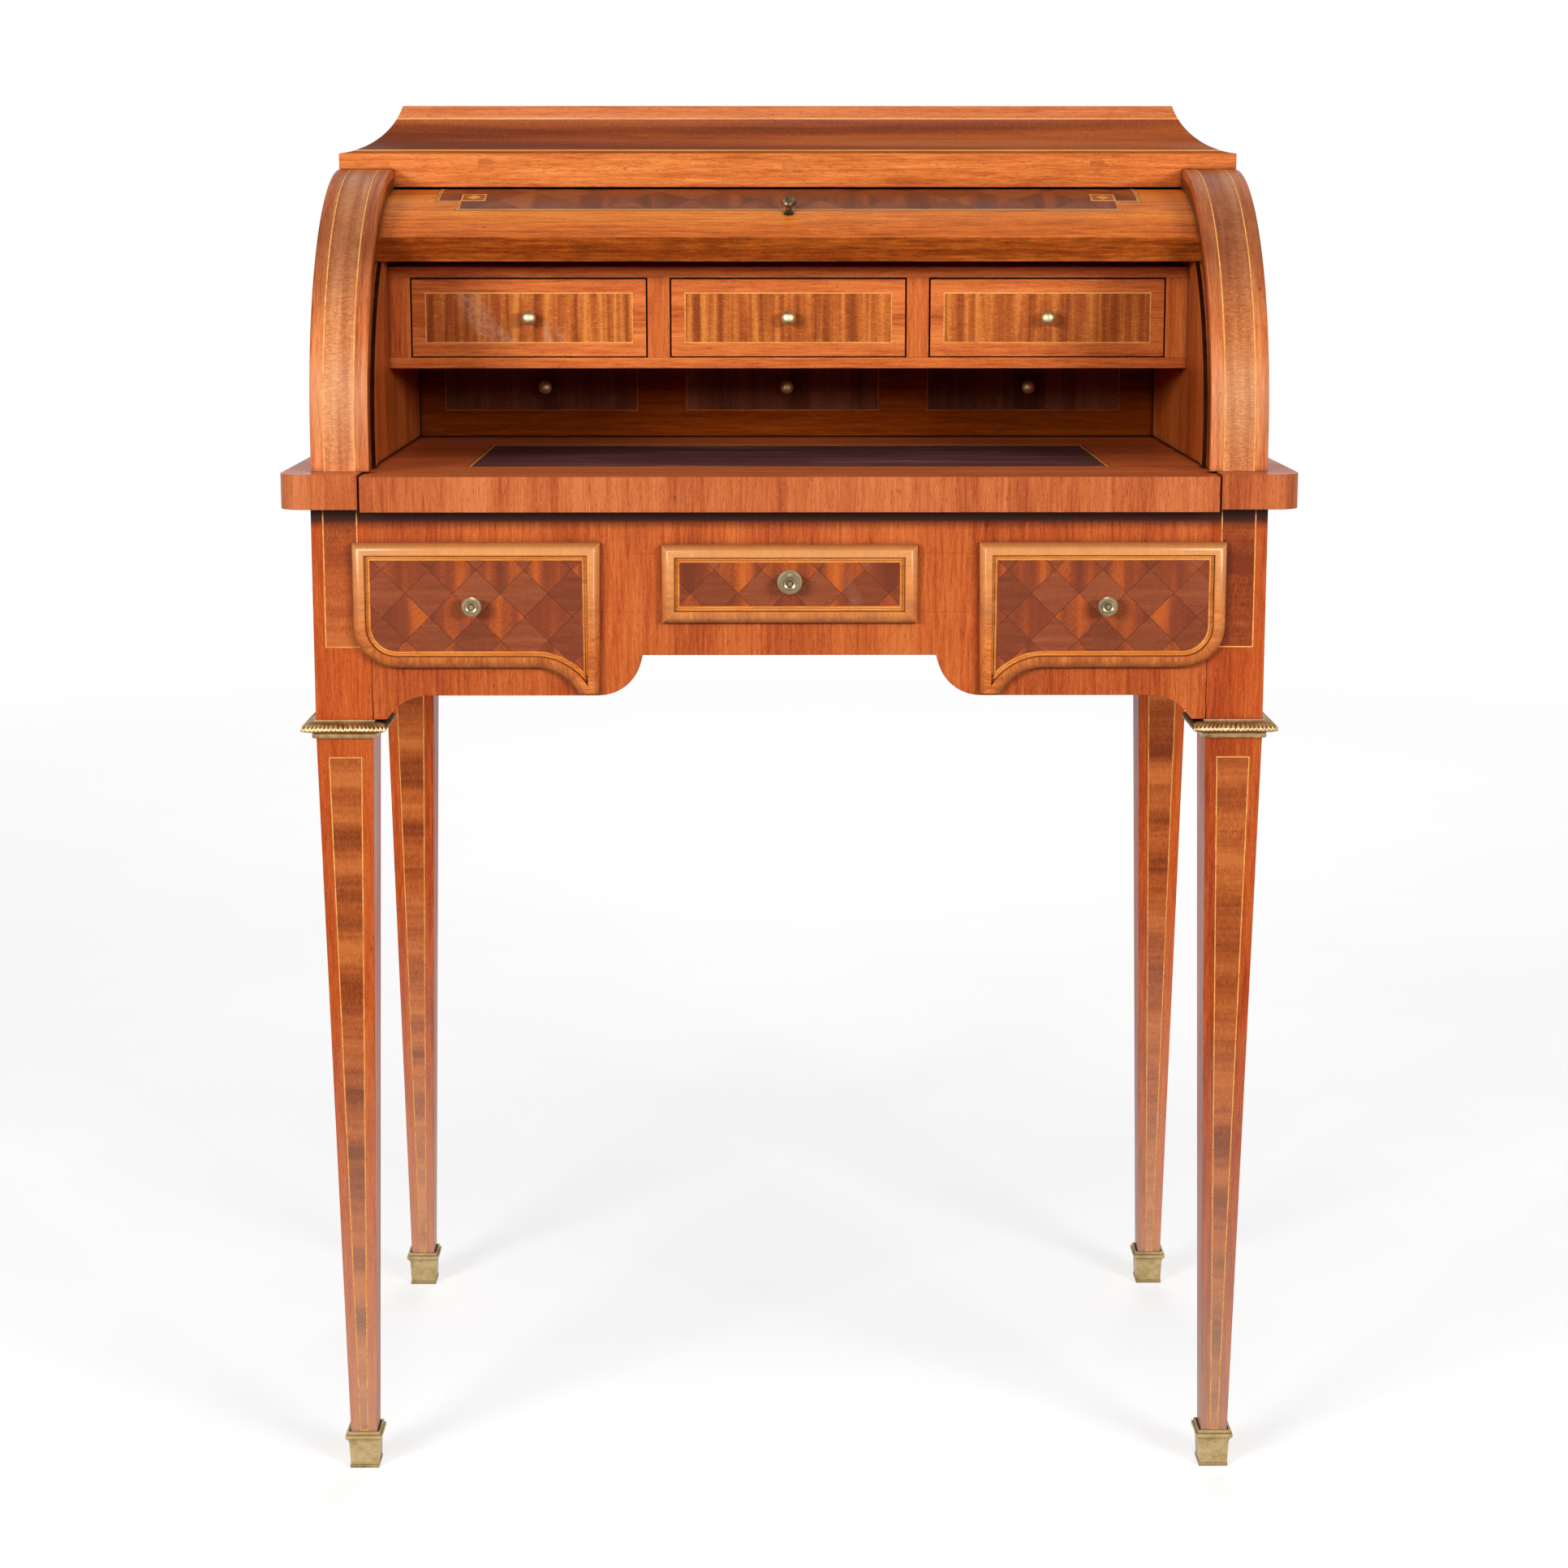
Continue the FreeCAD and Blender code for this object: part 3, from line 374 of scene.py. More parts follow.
def scuff(x, z, place, angle, reach):
    """1 in the middle of a long scuff, fading to 0 at its ends and sides."""
    across, up = x - place[0], z - place[1]
    cosine, sine = cos(angle), sin(angle)
    along = (across * cosine + up * sine) / reach[0]
    aside = (up * cosine - across * sine) / reach[1]
    return (1.0 - (along * along + aside * aside)).math("MAXIMUM", 0.0)


def scuffed(colour):
    """Colour under the pale scuffs on the left gallery drawer."""
    low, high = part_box("upper_left_drawer_front")
    point = object_point(colour.tree)
    x, _, z = split(point)
    worn = 0.0
    for across, up, angle, reach in SCUFFS:
        place = (low[0] + (high[0] - low[0]) * across, low[2] + (high[2] - low[2]) * up)
        worn = calc(colour.tree, "MAXIMUM", worn, scuff(x, z, place, radians(angle), reach))
    broken = grey_ramp(noise(point, 260.0, 4.0, 0.7), (0.4, 0.05), (0.62, 0.6))
    return blended(worn * broken, colour, linear(206, 164, 138))


def moulding_painted_light(colour):
    """Colour of mouldings: a painted highlight higher up, painted shade where they face up or down."""
    low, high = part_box("left_drawer_moulding")
    rise = (height_at(colour.tree) - low[2]) / (high[2] - low[2])
    # painted highlight: paler towards the top of the moulding
    colour = blended(grey_ramp(rise, (0.3, 0.0), (0.95, 0.6)), colour, linear(250, 178, 108))
    # painted shade on faces that look up or down
    return blended(abs(upward(colour.tree)) * 0.5, colour, linear(140, 68, 20))


def paler_towards_feet(colour):
    """Colour of the legs, paler towards their feet."""
    pale = grey_ramp(height_at(colour.tree), (0.04, 0.3), (0.2, 0.13), (0.36, 0.0))
    return blended(pale, colour, linear(250, 222, 196))


def cheek_painted_light(colour):
    """Colour of the cheeks' fronts: blotchy painted shade round the curve, a painted highlight below it."""
    height = height_at(colour.tree)
    curve = ((0.83, 0.0), (0.85, 0.1), (0.886, 0.46), (0.912, 0.68), (0.935, 0.55), (0.952, 0.3))
    blotch = noise(stretched(colour.tree, "Z", 0.5, 7.3), 40.0, 4.0, 0.6)
    # painted shade: blotchy dark brown round the curve
    curve_shade = grey_ramp(height, *curve) * grey_ramp(blotch, (0.35, 0.72), (0.65, 1.0))
    colour = blended(curve_shade, colour, linear(90, 36, 16))
    # painted highlight on the upright part below the curve
    pale = grey_ramp(height, (0.76, 0.05), (0.81, 0.2), (0.845, 0.0))
    return blended(pale, colour, linear(255, 206, 160))


# Woods

def grain_noise(tree, along, offset, place):
    """Noise along the grain, by its squeeze, shift and other values."""
    def grain(squeeze, shift, *values):
        return noise(stretched(tree, along, squeeze, offset + shift, place), *values)
    return grain


def pores(grain, share):
    """Short dark pores along the grain: 1 in a pore."""
    return grey_ramp(grain(0.12, 9.7, 1900.0, 1.0, 0.5), (share, 0.0), (share + 0.1, 1.0))


def grain_figure(grain, ribbon):
    """Figure of straight grain: broad ribbons, streaks and fibres."""
    broad = grain(0.03, 0.0, ribbon, 2.0, 0.5, 0.3)
    streak = grain(0.05, 3.1, 360.0, 5.0, 0.66, 0.15)
    fibre = grain(0.05, 5.3, 1500.0, 2.0, 0.6)
    return broad * 0.36 + streak * 0.4 + fibre * 0.24


def wood(name, along, shades, ribbon, offset=0.0, coat=0.06, place=object_point, dirt=recess_shade, edge=0.0,
         marks=None):
    """Straight-grained wood in three shades, under painted shade and its marks."""
    tree, shader = new_material(name)
    grain = grain_noise(tree, along, offset, place)
    figure = grain_figure(grain, ribbon)
    colour = shaded(figure, (0.39, 0.5, 0.61), shades)
    hole = pores(grain, 0.62)
    colour = blended(hole * 0.5, colour, linear(78, 28, 14))
    nick = grey_ramp(grain(0.4, 6.1, 150.0, 2.0, 0.5), (0.74, 0.0), (0.78, 0.5))
    colour = blended(nick, colour, linear(60, 26, 18))
    if coat:
        colour = dusted(colour, offset, place)
    roughness = grey_ramp(grain(0.5, 1.7, 9.0, 4.0, 0.6), (0.35, 0.32), (0.7, 0.5))
    finish_surface(shader, under_shade_and_marks(colour, dirt, marks), roughness, figure - hole * 0.8, 0.12, edge)
    polish(shader, coat)


def ribbon_wood(name, along, shades, ribbon, offset, place=object_point, dirt=None, marks=None, coat=0.06):
    """Figured veneer: ribbons along the grain, with a fine mottle across."""
    tree, shader = new_material(name)
    grain = grain_noise(tree, along, offset, place)
    crossing = grain_noise(tree, "X" if along == "Z" else "Z", offset, place)
    mottle = crossing(0.3, 2.3, 620.0, 3.0, 0.6, 1.6)
    broad = grain(0.04, 0.0, ribbon, 2.0, 0.5, 0.4)
    figure = broad * 0.56 + mottle * 0.26 + grain(0.05, 4.1, 260.0, 4.0, 0.6) * 0.18
    colour = shaded(figure, (0.4, 0.5, 0.6), shades)
    colour = blended(pores(grain, 0.64) * 0.35, colour, linear(64, 26, 14))
    roughness = grey_ramp(mottle, (0.3, 0.34), (0.75, 0.48))
    finish_surface(shader, under_shade_and_marks(colour, dirt, marks), roughness, figure, 0.08)
    polish(shader, coat)


def front_plane(point):
    """Across and up on a front face, mirrored about the desk's middle."""
    x, _, z = split(point)
    return abs(x) + FIELD_ACROSS, z + FIELD_UP


def on_cylinder(point):
    """Across and up on the cylinder fall, up being the way round."""
    x, y, z = split(point)
    return x, (z - roll_z).math("ARCTAN2", roll_y - y) * fall_radius


def cell_pattern(across, up, side):
    """Diamond cells: a cell's kind of two, its random value and the way to its joint."""
    turned = [(up * sign + across) / (side * sqrt(2)) for sign in (1.0, -1.0)]
    cells = [line.math("FLOOR") for line in turned]
    kind = (cells[0] + cells[1]).math("FLOORED_MODULO", 2.0)
    tone = field(up.tree, "TexWhiteNoise", "Value", {"Vector": joined(*cells)}, noise_dimensions="2D")
    edges = [line.math("PINGPONG", 0.5) for line in turned]
    return kind, tone, edges[0].math("MINIMUM", edges[1]) * side


def parquetry(name, across_up, side, plain, flamed):
    """Diamond parquetry: plain cells with level grain, by turns with upright flamed ones."""
    tree, shader = new_material(name)
    point = object_point(tree)
    across, up = across_up(point)
    kind, tone, joint = cell_pattern(across, up, side)
    upright = joined(across, up * 0.08, tone * 7.0)
    level = joined(across * 0.1, up, tone * 7.0)
    speck = noise(point, 900.0, 3.0, 0.6, 0.6)
    flame = speck * 0.3 + noise(upright, 58.0, 2.0, 0.5) * 0.7
    still = speck * 0.4 + noise(level, 230.0, 4.0) * 0.4 + tone * 0.2
    flame_colour = shaded(flame, (0.36, 0.49, 0.58, 0.68), flamed)
    colour = blended(kind, shaded(still, (0.3, 0.5, 0.68), plain), flame_colour)
    seam = (1.0 - joint / PARQUETRY_SEAM).math("MAXIMUM", 0.0)
    colour = blended(seam * 0.75, colour, linear(58, 24, 16))
    haze = noise(stretched(tree, "Z", 0.6, side * 900), 21.0, 5.0, 0.66)
    colour = blended(grey_ramp(haze, (0.6, 0.0), (0.78, 0.35)), colour, linear(168, 122, 98))
    roughness = grey_ramp(haze, (0.35, 0.34), (0.7, 0.52))
    finish_surface(shader, colour, roughness, still - seam, 0.08)
    polish(shader)


# Leather and metals

def old_leather():
    """Dark aubergine leather, rubbed and dusty, its pale streaks both wear and painted sheen."""
    tree, shader = new_material("old_leather")
    grain = noise(object_point(tree), 900.0, 3.0, 0.6)
    wear = noise(stretched(tree, "X", 0.1, 2.0), 46.0, 8.0, 0.74)
    colour = shaded(wear, (0.4, 0.62), ((74, 42, 41), (96, 62, 60)))
    rubbed_sheen = grey_ramp(grain, (0.38, 0.2), (0.62, 1.0)) * grey_ramp(wear, (0.53, 0.0), (0.72, 0.6))
    # pale streaks: wear, and painted sheen
    colour = blended(rubbed_sheen, colour, linear(190, 168, 160))
    roughness = grey_ramp(wear, (0.35, 0.5), (0.7, 0.7))
    finish_surface(shader, colour, roughness, grain, 0.25)
    shader.inputs["Specular IOR Level"].default_value = 0.08


def metal(name, shades, rough, tarnish_scale, tarnish=(0.42, 0.66), metallic=0.9):
    """Cast metal in three shades, from tarnish in the hollows to rubbed metal."""
    tree, shader = new_material(name)
    point = object_point(tree)
    figure = noise(point, tarnish_scale, 5.0, 0.65) * 0.75 + noise(point, tarnish_scale * 9, 2.0, 0.6) * 0.25
    colour = shaded(figure, (tarnish[0], sum(tarnish) / 2, tarnish[1]), shades)
    # darker in the hollows: patina, and painted shade from the recess mask
    colour = blended(recess_shade(tree), colour, linear(62, 46, 28))
    roughness = grey_ramp(figure, (tarnish[0], rough[1]), (tarnish[1], rough[0]))
    finish_surface(shader, colour, roughness, figure, 0.15)
    shader.inputs["Metallic"].default_value = metallic


# Meshes

def slot_of(kind):
    """Material slot of an inlaid wood."""
    if kind in DARK_INLAYS:
        return "dark_mahogany"
    return "honey_moulding" if kind in PALE_INLAYS else "mahogany_veneer"


def placed(name, data):
    """New object in the scene."""
    made = bpy.data.objects.new(name, data)
    scene.collection.objects.link(made)
    return made


def mesh_object(name, points, faces, material):
    """New mesh object in one material."""
    mesh = bpy.data.meshes.new(name)
    mesh.from_pydata([tuple(point) for point in points], [], faces)
    mesh.materials.append(material)
    return placed(name, mesh)


def piece(name, points, faces, material, body, slot):
    """Mesh piece in the row frame that rides on a body."""
    made = mesh_object(name, points, faces, material)
    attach(made, body)
    return made


def strip_faces(rows, closed, start=0):
    """Faces between rows of points, which are numbered on from a start."""
    width = len(rows[0])
    faces = []
    for row in range(len(rows) - 1):
        for step in range(width if closed else width - 1):
            first = start + row * width + step
            following = start + row * width + (step + 1) % width
            faces.append((first, following, following + width, first + width))
    return faces


def inlay(name, rows, kind, body="case", slot=None, closed=False):
    """Thin inlay of a wood through rows of points that lie just above a surface."""
    points = [point for row in rows for point in row]
    made = piece(name, points, strip_faces(rows, closed), materials[kind], body, slot or slot_of(kind))
    skin = made.modifiers.new("depth", "SOLIDIFY")
    skin.thickness = INLAY_DEPTH
    skin.offset = -1
    return made


def spaced(first, last, count):
    """Even steps from first to last."""
    return [first + (last - first) * step / (count - 1) for step in range(count)]


def patch(name, place, across, up, kind, body="case", slot=None, steps=(2, 2)):
    """Inlaid panel over a span across and a span up a surface."""
    rows = [[place(a, u) for a in spaced(*across, steps[0])] for u in spaced(*up, steps[1])]
    inlay(name, rows, kind, body, slot)


def ring(name, place, loop, first, last, kind, body="case", slot=None):
    """Inlaid band along a loop on a surface, between two distances inside it."""
    rows = [[place(*point) for point in inset_loop(loop, distance)] for distance in (first, last)]
    inlay(name, rows, kind, body, slot, closed=True)


def rectangle(across, up, steps=(1, 1)):
    """Counter-clockwise loop round a rectangle, its sides cut into steps."""
    corners = [(across[0], up[0]), (across[1], up[0]), (across[1], up[1]), (across[0], up[1])]
    loop = []
    for index, (start, end) in enumerate(zip(corners, corners[1:] + corners[:1])):
        count = steps[index % 2]
        loop += [tuple(Vector(start).lerp(Vector(end), step / count)) for step in range(count)]
    return loop


def circle(middle, radius, count):
    """Loop round a circle."""
    turns = spaced(0, 2 * pi, count + 1)[:-1]
    return [(middle[0] + radius * cos(turn), middle[1] + radius * sin(turn)) for turn in turns]


def inset_loop(loop, distance):
    """Loop of (x, z) points moved inwards by a distance, with mitred corners."""
    moved = []
    for before, here, after in zip(loop[-1:] + loop[:-1], loop, loop[1:] + loop[:1]):
        ways = [(Vector(end) - Vector(start)).normalized() for start, end in ((before, here), (here, after))]
        normals = [Vector((-way.y, way.x)) for way in ways]
        inward = normals[0] + normals[1]
        inward /= max(inward.dot(normals[0]), 0.2)
        moved.append(tuple(Vector(here) + inward * distance))
    return moved


def front_face(y):
    """Places (x, z) just in front of a vertical front."""
    return lambda x, z: (x, y - LIFT, z)


def top_face(z):
    """Places (x, y) just above a level top."""
    return lambda x, y: (x, y, z + LIFT)


def front_outline(name):
    """Y of a node's front, and its outline as (x, z) points, counter-clockwise."""
    mesh = nodes[name].data
    y = min(vertex.co.y for vertex in mesh.vertices)
    front = [vertex for vertex in mesh.vertices if vertex.co.y - y < 1e-6]
    spots = {vertex.index: (round(vertex.co.x, 6), round(vertex.co.z, 6)) for vertex in front}
    sides = set()
    for polygon in mesh.polygons:
        if not all(index in spots for index in polygon.vertices):
            continue
        corners = [spots[index] for index in polygon.vertices]
        for start, end in zip(corners, corners[1:] + corners[:1]):
            if (end, start) in sides:
                sides.remove((end, start))
            else:
                sides.add((start, end))
    following = dict(sides)
    loop = [next(iter(following))]
    while following[loop[-1]] != loop[0]:
        loop.append(following[loop[-1]])
    return y, loop


def smooth(made, angle):
    """Smooth shading over edges flatter than an angle in degrees."""
    for polygon in made.data.polygons:
        polygon.use_smooth = True
    made.data.set_sharp_from_angle(angle=radians(angle))


# Legs and posts

def leg_axis(name):
    """Point on the floor under a leg's middle, and half the width of its post."""
    low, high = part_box(name)
    return Vector(((low[0] + high[0]) / 2, (low[1] + high[1]) / 2, 0)), (high[0] - low[0]) / 2


def foot_half(name):
    """Half width of a leg at its foot."""
    mesh = nodes[name].data
    foot = min(vertex.co.z for vertex in mesh.vertices)
    reach = [vertex.co.x for vertex in mesh.vertices if vertex.co.z < foot + 1e-5]
    return (max(reach) - min(reach)) / 2


def leg_face(name, facing):
    """Places (across, z) just outside one face of a leg and its post."""
    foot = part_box(name)[0][2]
    axis, top_half = leg_axis(name)
    thin = foot_half(name)
    outward = Vector(facing)
    right = (-outward).cross(Vector((0, 0, 1)))

    def place(across, z):
        share = min((z - foot) / (collar_base - foot), 1)
        half = thin + (top_half - thin) * share
        return axis + outward * (half + LIFT) + right * across + Vector((0, 0, z))

    return place


def framed_panel(label, place, loop, kind, body="case"):
    """Four-cornered panel in a string."""
    corners = [place(*corner) for corner in loop]
    inlay(label.format("panel"), [corners[:2], corners[:1:-1]], kind, body)
    ring(label.format("string"), place, loop, -STRING, 0, "string_wood", body)


def inlay_legs():
    """Panels on the legs' and posts' outer faces, and on the front of all but the back posts."""
    low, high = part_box("foot_sabots")[1][2] + PANEL_ABOVE_SABOT, collar_base - PANEL_TOP_BELOW_COLLAR
    leg = [(-PANEL_HALF_AT_FOOT, low), (PANEL_HALF_AT_FOOT, low),
           (PANEL_HALF_AT_TOP, high), (-PANEL_HALF_AT_TOP, high)]
    post = rectangle((-POST_PANEL_HALF, POST_PANEL_HALF), (case_top - POST_PANEL_BELOW_TOP, case_top - LIFT))
    for side, outward in (("left", (-1, 0, 0)), ("right", (1, 0, 0))):
        for end, kind in (("front", "leg_panel_wood"), ("back", "back_leg_panel_wood")):
            name = f"leg_{end}_{side}"
            framed_panel(name + "_{}_front", leg_face(name, FORWARD), leg, kind)
            framed_panel(name + "_{}_side", leg_face(name, outward), leg, kind)
            framed_panel(name + "_post_{}_side", leg_face(name, outward), post, "post_panel_wood")
        name = f"leg_front_{side}"
        framed_panel(name + "_post_{}_front", leg_face(name, FORWARD), post, "post_panel_wood")


def collar_section():
    """Section of a collar, as (way out, height, depth of gadroons) from its foot up."""
    section = [(0, 0, 0), (0.0019, 0, 0), (0.0026, 0.001, 0), (0.0028, 0.0022, 0), (0.0022, 0.0036, 0),
               (0.0034, 0.0042, 0), (0.006, 0.0047, 0), (0.0088, 0.0058, 0)]
    for turn in spaced(0, pi / 2, 9):
        out = 0.0014 + 0.0084 * cos(turn) ** 0.9
        depth = GADROON_HEIGHT * sin(turn * 2 * 0.86 + 0.4)
        section.append((out, 0.0066 + 0.0052 * sin(turn), depth))
    return section + [(0.0014, 0.0122, 0), (0.0012, 0.0134, 0), (0, 0.0134, 0)]


def collar_row(axis, half, out, height, depth, station):
    """Ring of points round a collar, whose gadroons slant from each side's middle."""
    steps = GADROONS_PER_SIDE * GADROON_STEPS
    row = []
    for turn in range(4):
        outward = Vector((sin(turn * pi / 2), -cos(turn * pi / 2), 0))
        right = (-outward).cross(Vector((0, 0, 1)))
        for step in range(steps):
            share = 2 * step / steps - 1
            phase = abs(share) * GADROONS_PER_SIDE / 2 - 1.1 * station * min(1, 3 * abs(share))
            ridge = depth * (abs(sin(phase * pi)) - 0.6)
            spot = axis + outward * (half + out + ridge * 0.7) + right * ((half + out) * share)
            row.append(spot + Vector((0, 0, collar_base + height + ridge * 0.7)))
    return row


def gadroon_collars():
    """Gadrooned collars round the tops of the four legs."""
    section = collar_section()
    points, faces = [], []
    for name in ("leg_front_left", "leg_front_right", "leg_back_left", "leg_back_right"):
        axis, half = leg_axis(name)
        rows = []
        for index, spot in enumerate(section):
            rows.append(collar_row(axis, half + LIFT, *spot, index / len(section)))
        faces += strip_faces(rows, True, len(points))
        points += [point for row in rows for point in row]
    made = piece("gadrooned_collars", points, faces, materials["aged_bronze"], "case", "aged_bronze")
    smooth(made, 50)
    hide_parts("leg_collars")


def post_joints():
    """Open joints between the front posts and the apron, below the drawers."""
    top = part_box("left_drawer_moulding")[0][2] + POST_JOINT_RISE
    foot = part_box("leg_collars")[1][2]
    for side, sign in (("left", 1), ("right", -1)):
        low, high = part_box(f"leg_front_{side}")
        seam = (high if sign > 0 else low)[0]
        place = front_face(low[1])
        rows = []
        for share in spaced(0, 1, 40):
            z = foot + (top - foot) * share
            half = CRACK_HALF + CRACK_GAPE * (1 - share) ** 3
            middle = seam + CRACK_WANDER * sin(share * 14) * (1 - share)
            rows.append([place(middle - half, z), place(middle + half, z)])
        inlay(f"post_joint_{side}", rows, "crack_grime")


# Apron drawers

def frame_profile(thickness, width, stand):
    """Section of a frame moulding, as (way out, way back) from its inner front edge."""
    section = [(0, stand), (0, 0.0008), (0.0003, 0.0002), (0.0009, 0)]
    fall = thickness * 0.8
    for turn in spaced(0, pi / 2, 9):
        section.append((FRAME_FLAT + (width - FRAME_FLAT) * sin(turn), fall * (1 - cos(turn))))
    return section + [(width, thickness)]


def blunted(loop, tip, floor):
    """Loop with its lowest corner cut level at a floor, or else cut by a hair."""
    before, here, after = (Vector(loop[index % len(loop)]) for index in (tip - 1, tip, tip + 1))
    cut = []
    for other in (before, after):
        way = other - here
        rise = max(floor - here.y, HAIR)
        share = rise / way.y if way.y > HAIR / 2 else HAIR / way.length
        cut.append(tuple(here + way * min(share, 0.9)))
    return loop[:tip] + cut + loop[tip + 1:]


def frame_moulding(side):
    """Rounded moulding round an apron drawer, with the grain across it."""
    node = f"{side}_drawer_moulding"
    low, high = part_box(node)
    field_front, loop = front_outline(f"{side}_drawer_field")
    width = min(across for across, _ in loop) - low[0]
    tip = min(range(len(loop)), key=lambda index: loop[index][1])
    rows = []
    for out, back in reversed(frame_profile(high[1] - low[1], width, field_front - low[1])):
        outline = blunted(inset_loop(loop, -out), tip, low[2])
        rows.append([(x, low[1] + back, z) for x, z in outline])
    loop = blunted(loop, tip, low[2])
    made = inlay(f"{side}_drawer_frame", rows, "moulding_wood", f"{side}_drawer", closed=True)
    # painted light: the upright runs take a lighter copy of the moulding wood, with its grain across them
    made.data.materials.append(materials["moulding_upright_wood"])
    for polygon in made.data.polygons:
        run = polygon.index % len(loop)
        start, end = loop[run], loop[(run + 1) % len(loop)]
        polygon.material_index = int(abs(end[1] - start[1]) > abs(end[0] - start[0]))
    smooth(made, 28)
    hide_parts(node)


def string_fields():
    """Dark joint and light, dark and light strings round the apron drawers' fields."""
    tags = ("joint", "string_1", "string_2", "string_3")
    kinds = ("joint_grime", "field_string_wood", "square_wood", "field_string_wood")
    for side in SIDES:
        y, loop = front_outline(f"{side}_drawer_field")
        for tag, kind, first, last in zip(tags, kinds, FIELD_STRINGS, FIELD_STRINGS[1:]):
            ring(f"{side}_drawer_{tag}", front_face(y), loop, first, last, kind, f"{side}_drawer")
        frame_moulding(side)


# Writing slide

def border_leather():
    """String and dark band round the leather in the slide's top."""
    low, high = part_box("slide_leather")
    place = top_face(high[2])
    loop = rectangle((low[0], high[0]), (low[1], high[1]))
    ring("leather_string", place, loop, -LEATHER_STRING, 0, "string_wood", "slide")
    ring("leather_band", place, loop, -LEATHER_BORDER, -LEATHER_STRING, "dark_string_wood", "slide",
         "dark_mahogany")


def slide_joints():
    """Open joints at the slide's ends, on its front and on its top up to the cheeks."""
    low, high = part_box("writing_slide")
    front, loop = front_outline("writing_slide")
    ends = [x for x, _ in loop]
    for side, edge, inward in (("left", min(ends), 1), ("right", max(ends), -1)):
        across = sorted((edge, edge + inward * 2 * JOINT_HALF))
        patch(f"slide_joint_{side}", front_face(front), across, (low[2], high[2]), "crack_grime", "slide")
        span = (low[1], cheek_box[0][1])
        patch(f"slide_top_joint_{side}", top_face(high[2]), across, span, "crack_grime", "slide")


# Cheeks and cylinder fall

def around(x, radius, angle):
    """Point round the roll's axis, at an angle up from the front."""
    return (x, roll_y - radius * cos(angle), roll_z + radius * sin(angle))


def on_cheek(x, way):
    """Places on a cheek's front, whose way goes up and round the curve."""
    if way < cheek_upright:
        return (x, roll_y - cheek_radius - LIFT, cheek_box[0][2] + way)
    return around(x, cheek_radius + LIFT, (way - cheek_upright) / cheek_radius)


def inlay_cheeks():
    """Dark band between two strings and two borders up the front of each cheek."""
    rail_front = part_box("cornice_rail")[0][1]
    up = (2 * HAIR, cheek_upright + cheek_radius * acos((roll_y - rail_front) / cheek_radius))
    kinds = ("cheek_front_veneer", "string_wood", "cheek_band_wood", "string_wood", "cheek_front_veneer")
    for side in ("left", "right"):
        low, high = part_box(f"cheek_{side}")
        inner, outer = low[0] + CHEEK_STRING_INSET, high[0] - CHEEK_STRING_INSET
        edges = (low[0] + LIFT, inner - STRING, inner, outer, outer + STRING, high[0] - LIFT)
        for index, kind in enumerate(kinds):
            patch(f"cheek_{side}_strip_{index + 1}", on_cheek, edges[index:index + 2], up, kind,
                  slot="mahogany_veneer", steps=(2, 60))


def lining_lips():
    """Lips along the linings' fronts, which close the inner side of the groove."""
    outer = roll_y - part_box("lining_left")[0][1]
    stations = spaced(-asin(cheek_upright / outer), LIP_END, 40)
    for name, side in (("lining_left", 1), ("lining_right", -1)):
        low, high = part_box(name)
        face = (high if side > 0 else low)[0]
        section = [(outer, face), (outer, face + side * (LIP_STAND - LIP_ROUND)),
                   (outer - LIP_ROUND, face + side * LIP_STAND), (outer - LIP_WIDTH, face + side * LIP_STAND),
                   (outer - LIP_WIDTH, face)]
        rows = [[around(x, radius, angle) for radius, x in section[::side]] for angle in stations]
        groove_strip(name + "_lip", rows, outer)


def groove_strip(name, rows, outer):
    """Solid strip through rows of points, with painted shade on the side that faces the groove."""
    width = len(rows[0])
    points = [point for row in rows for point in row]
    ends = [tuple(range(width))[::-1], tuple(range(len(points) - width, len(points)))]
    faces = ends + strip_faces(rows, True)
    made = piece(name, points, faces, materials["inner_veneer"], "case", "mahogany_veneer")
    # painted shade: the crack wood on the faces beside the groove
    made.data.materials.append(materials["crack_grime"])
    for polygon in made.data.polygons:
        spots = [made.data.vertices[index].co for index in polygon.vertices]
        near = [hypot(roll_y - spot.y, spot.z - roll_z) > outer - 2 * NEAR for spot in spots]
        polygon.material_index = int(all(near))


def on_fall(x, way, lift=0.0):
    """Places on the cylinder, whose way round starts level with the roll's axis."""
    x, y, z = around(x, fall_radius + LIFT, way / fall_radius)
    return (x, y, z + lift)


def over_fall(layers):
    """Places above inlays that lie on the cylinder already."""
    return lambda x, way: on_fall(x, way, layers * LIFT)


def field_loop(half, notch, low, high):
    """Outline of the fall's field, which steps in at the corners."""
    near = half - notch
    rising = spaced(low + notch, high - notch, 40)
    right = [(near, low), (near, low + notch)] + [(half, way) for way in rising]
    right += [(near, high - notch), (near, high)]
    return [(-near, low)] + right + [(-x, way) for x, way in right[:0:-1]]


def inlay_fall():
    """Marquetry of the cylinder: diamonds in a stepped string, with corner squares."""
    low, high = FALL_FIELD_START * fall_radius, FALL_FIELD_END * fall_radius
    half, notch = FALL_FIELD_HALF, CORNER_SQUARE
    across = (notch - half, half - notch)
    patch("fall_field", on_fall, across, (low, high), "fall_parquetry", "fall", steps=(2, 48))
    for side in (-1, 1):
        across = sorted((side * half, side * (half - notch)))
        up = (low + notch, high - notch)
        patch(f"fall_field_end_{side + 2}", on_fall, across, up, "fall_parquetry", "fall", steps=(2, 40))
    loop = field_loop(half, notch, low, high)
    kinds = ("joint_grime", "string_wood", "square_wood", "string_wood", "joint_grime")
    for index, kind in enumerate(kinds):
        ring(f"fall_string_{index + 1}", on_fall, loop, *FALL_STRINGS[index:index + 2], kind, "fall")
    for side in (-1, 1):
        for end, way in (("low", low + notch), ("high", high - 2 * notch)):
            corner_square(f"fall_square_{end}_{side + 2}", side, way)


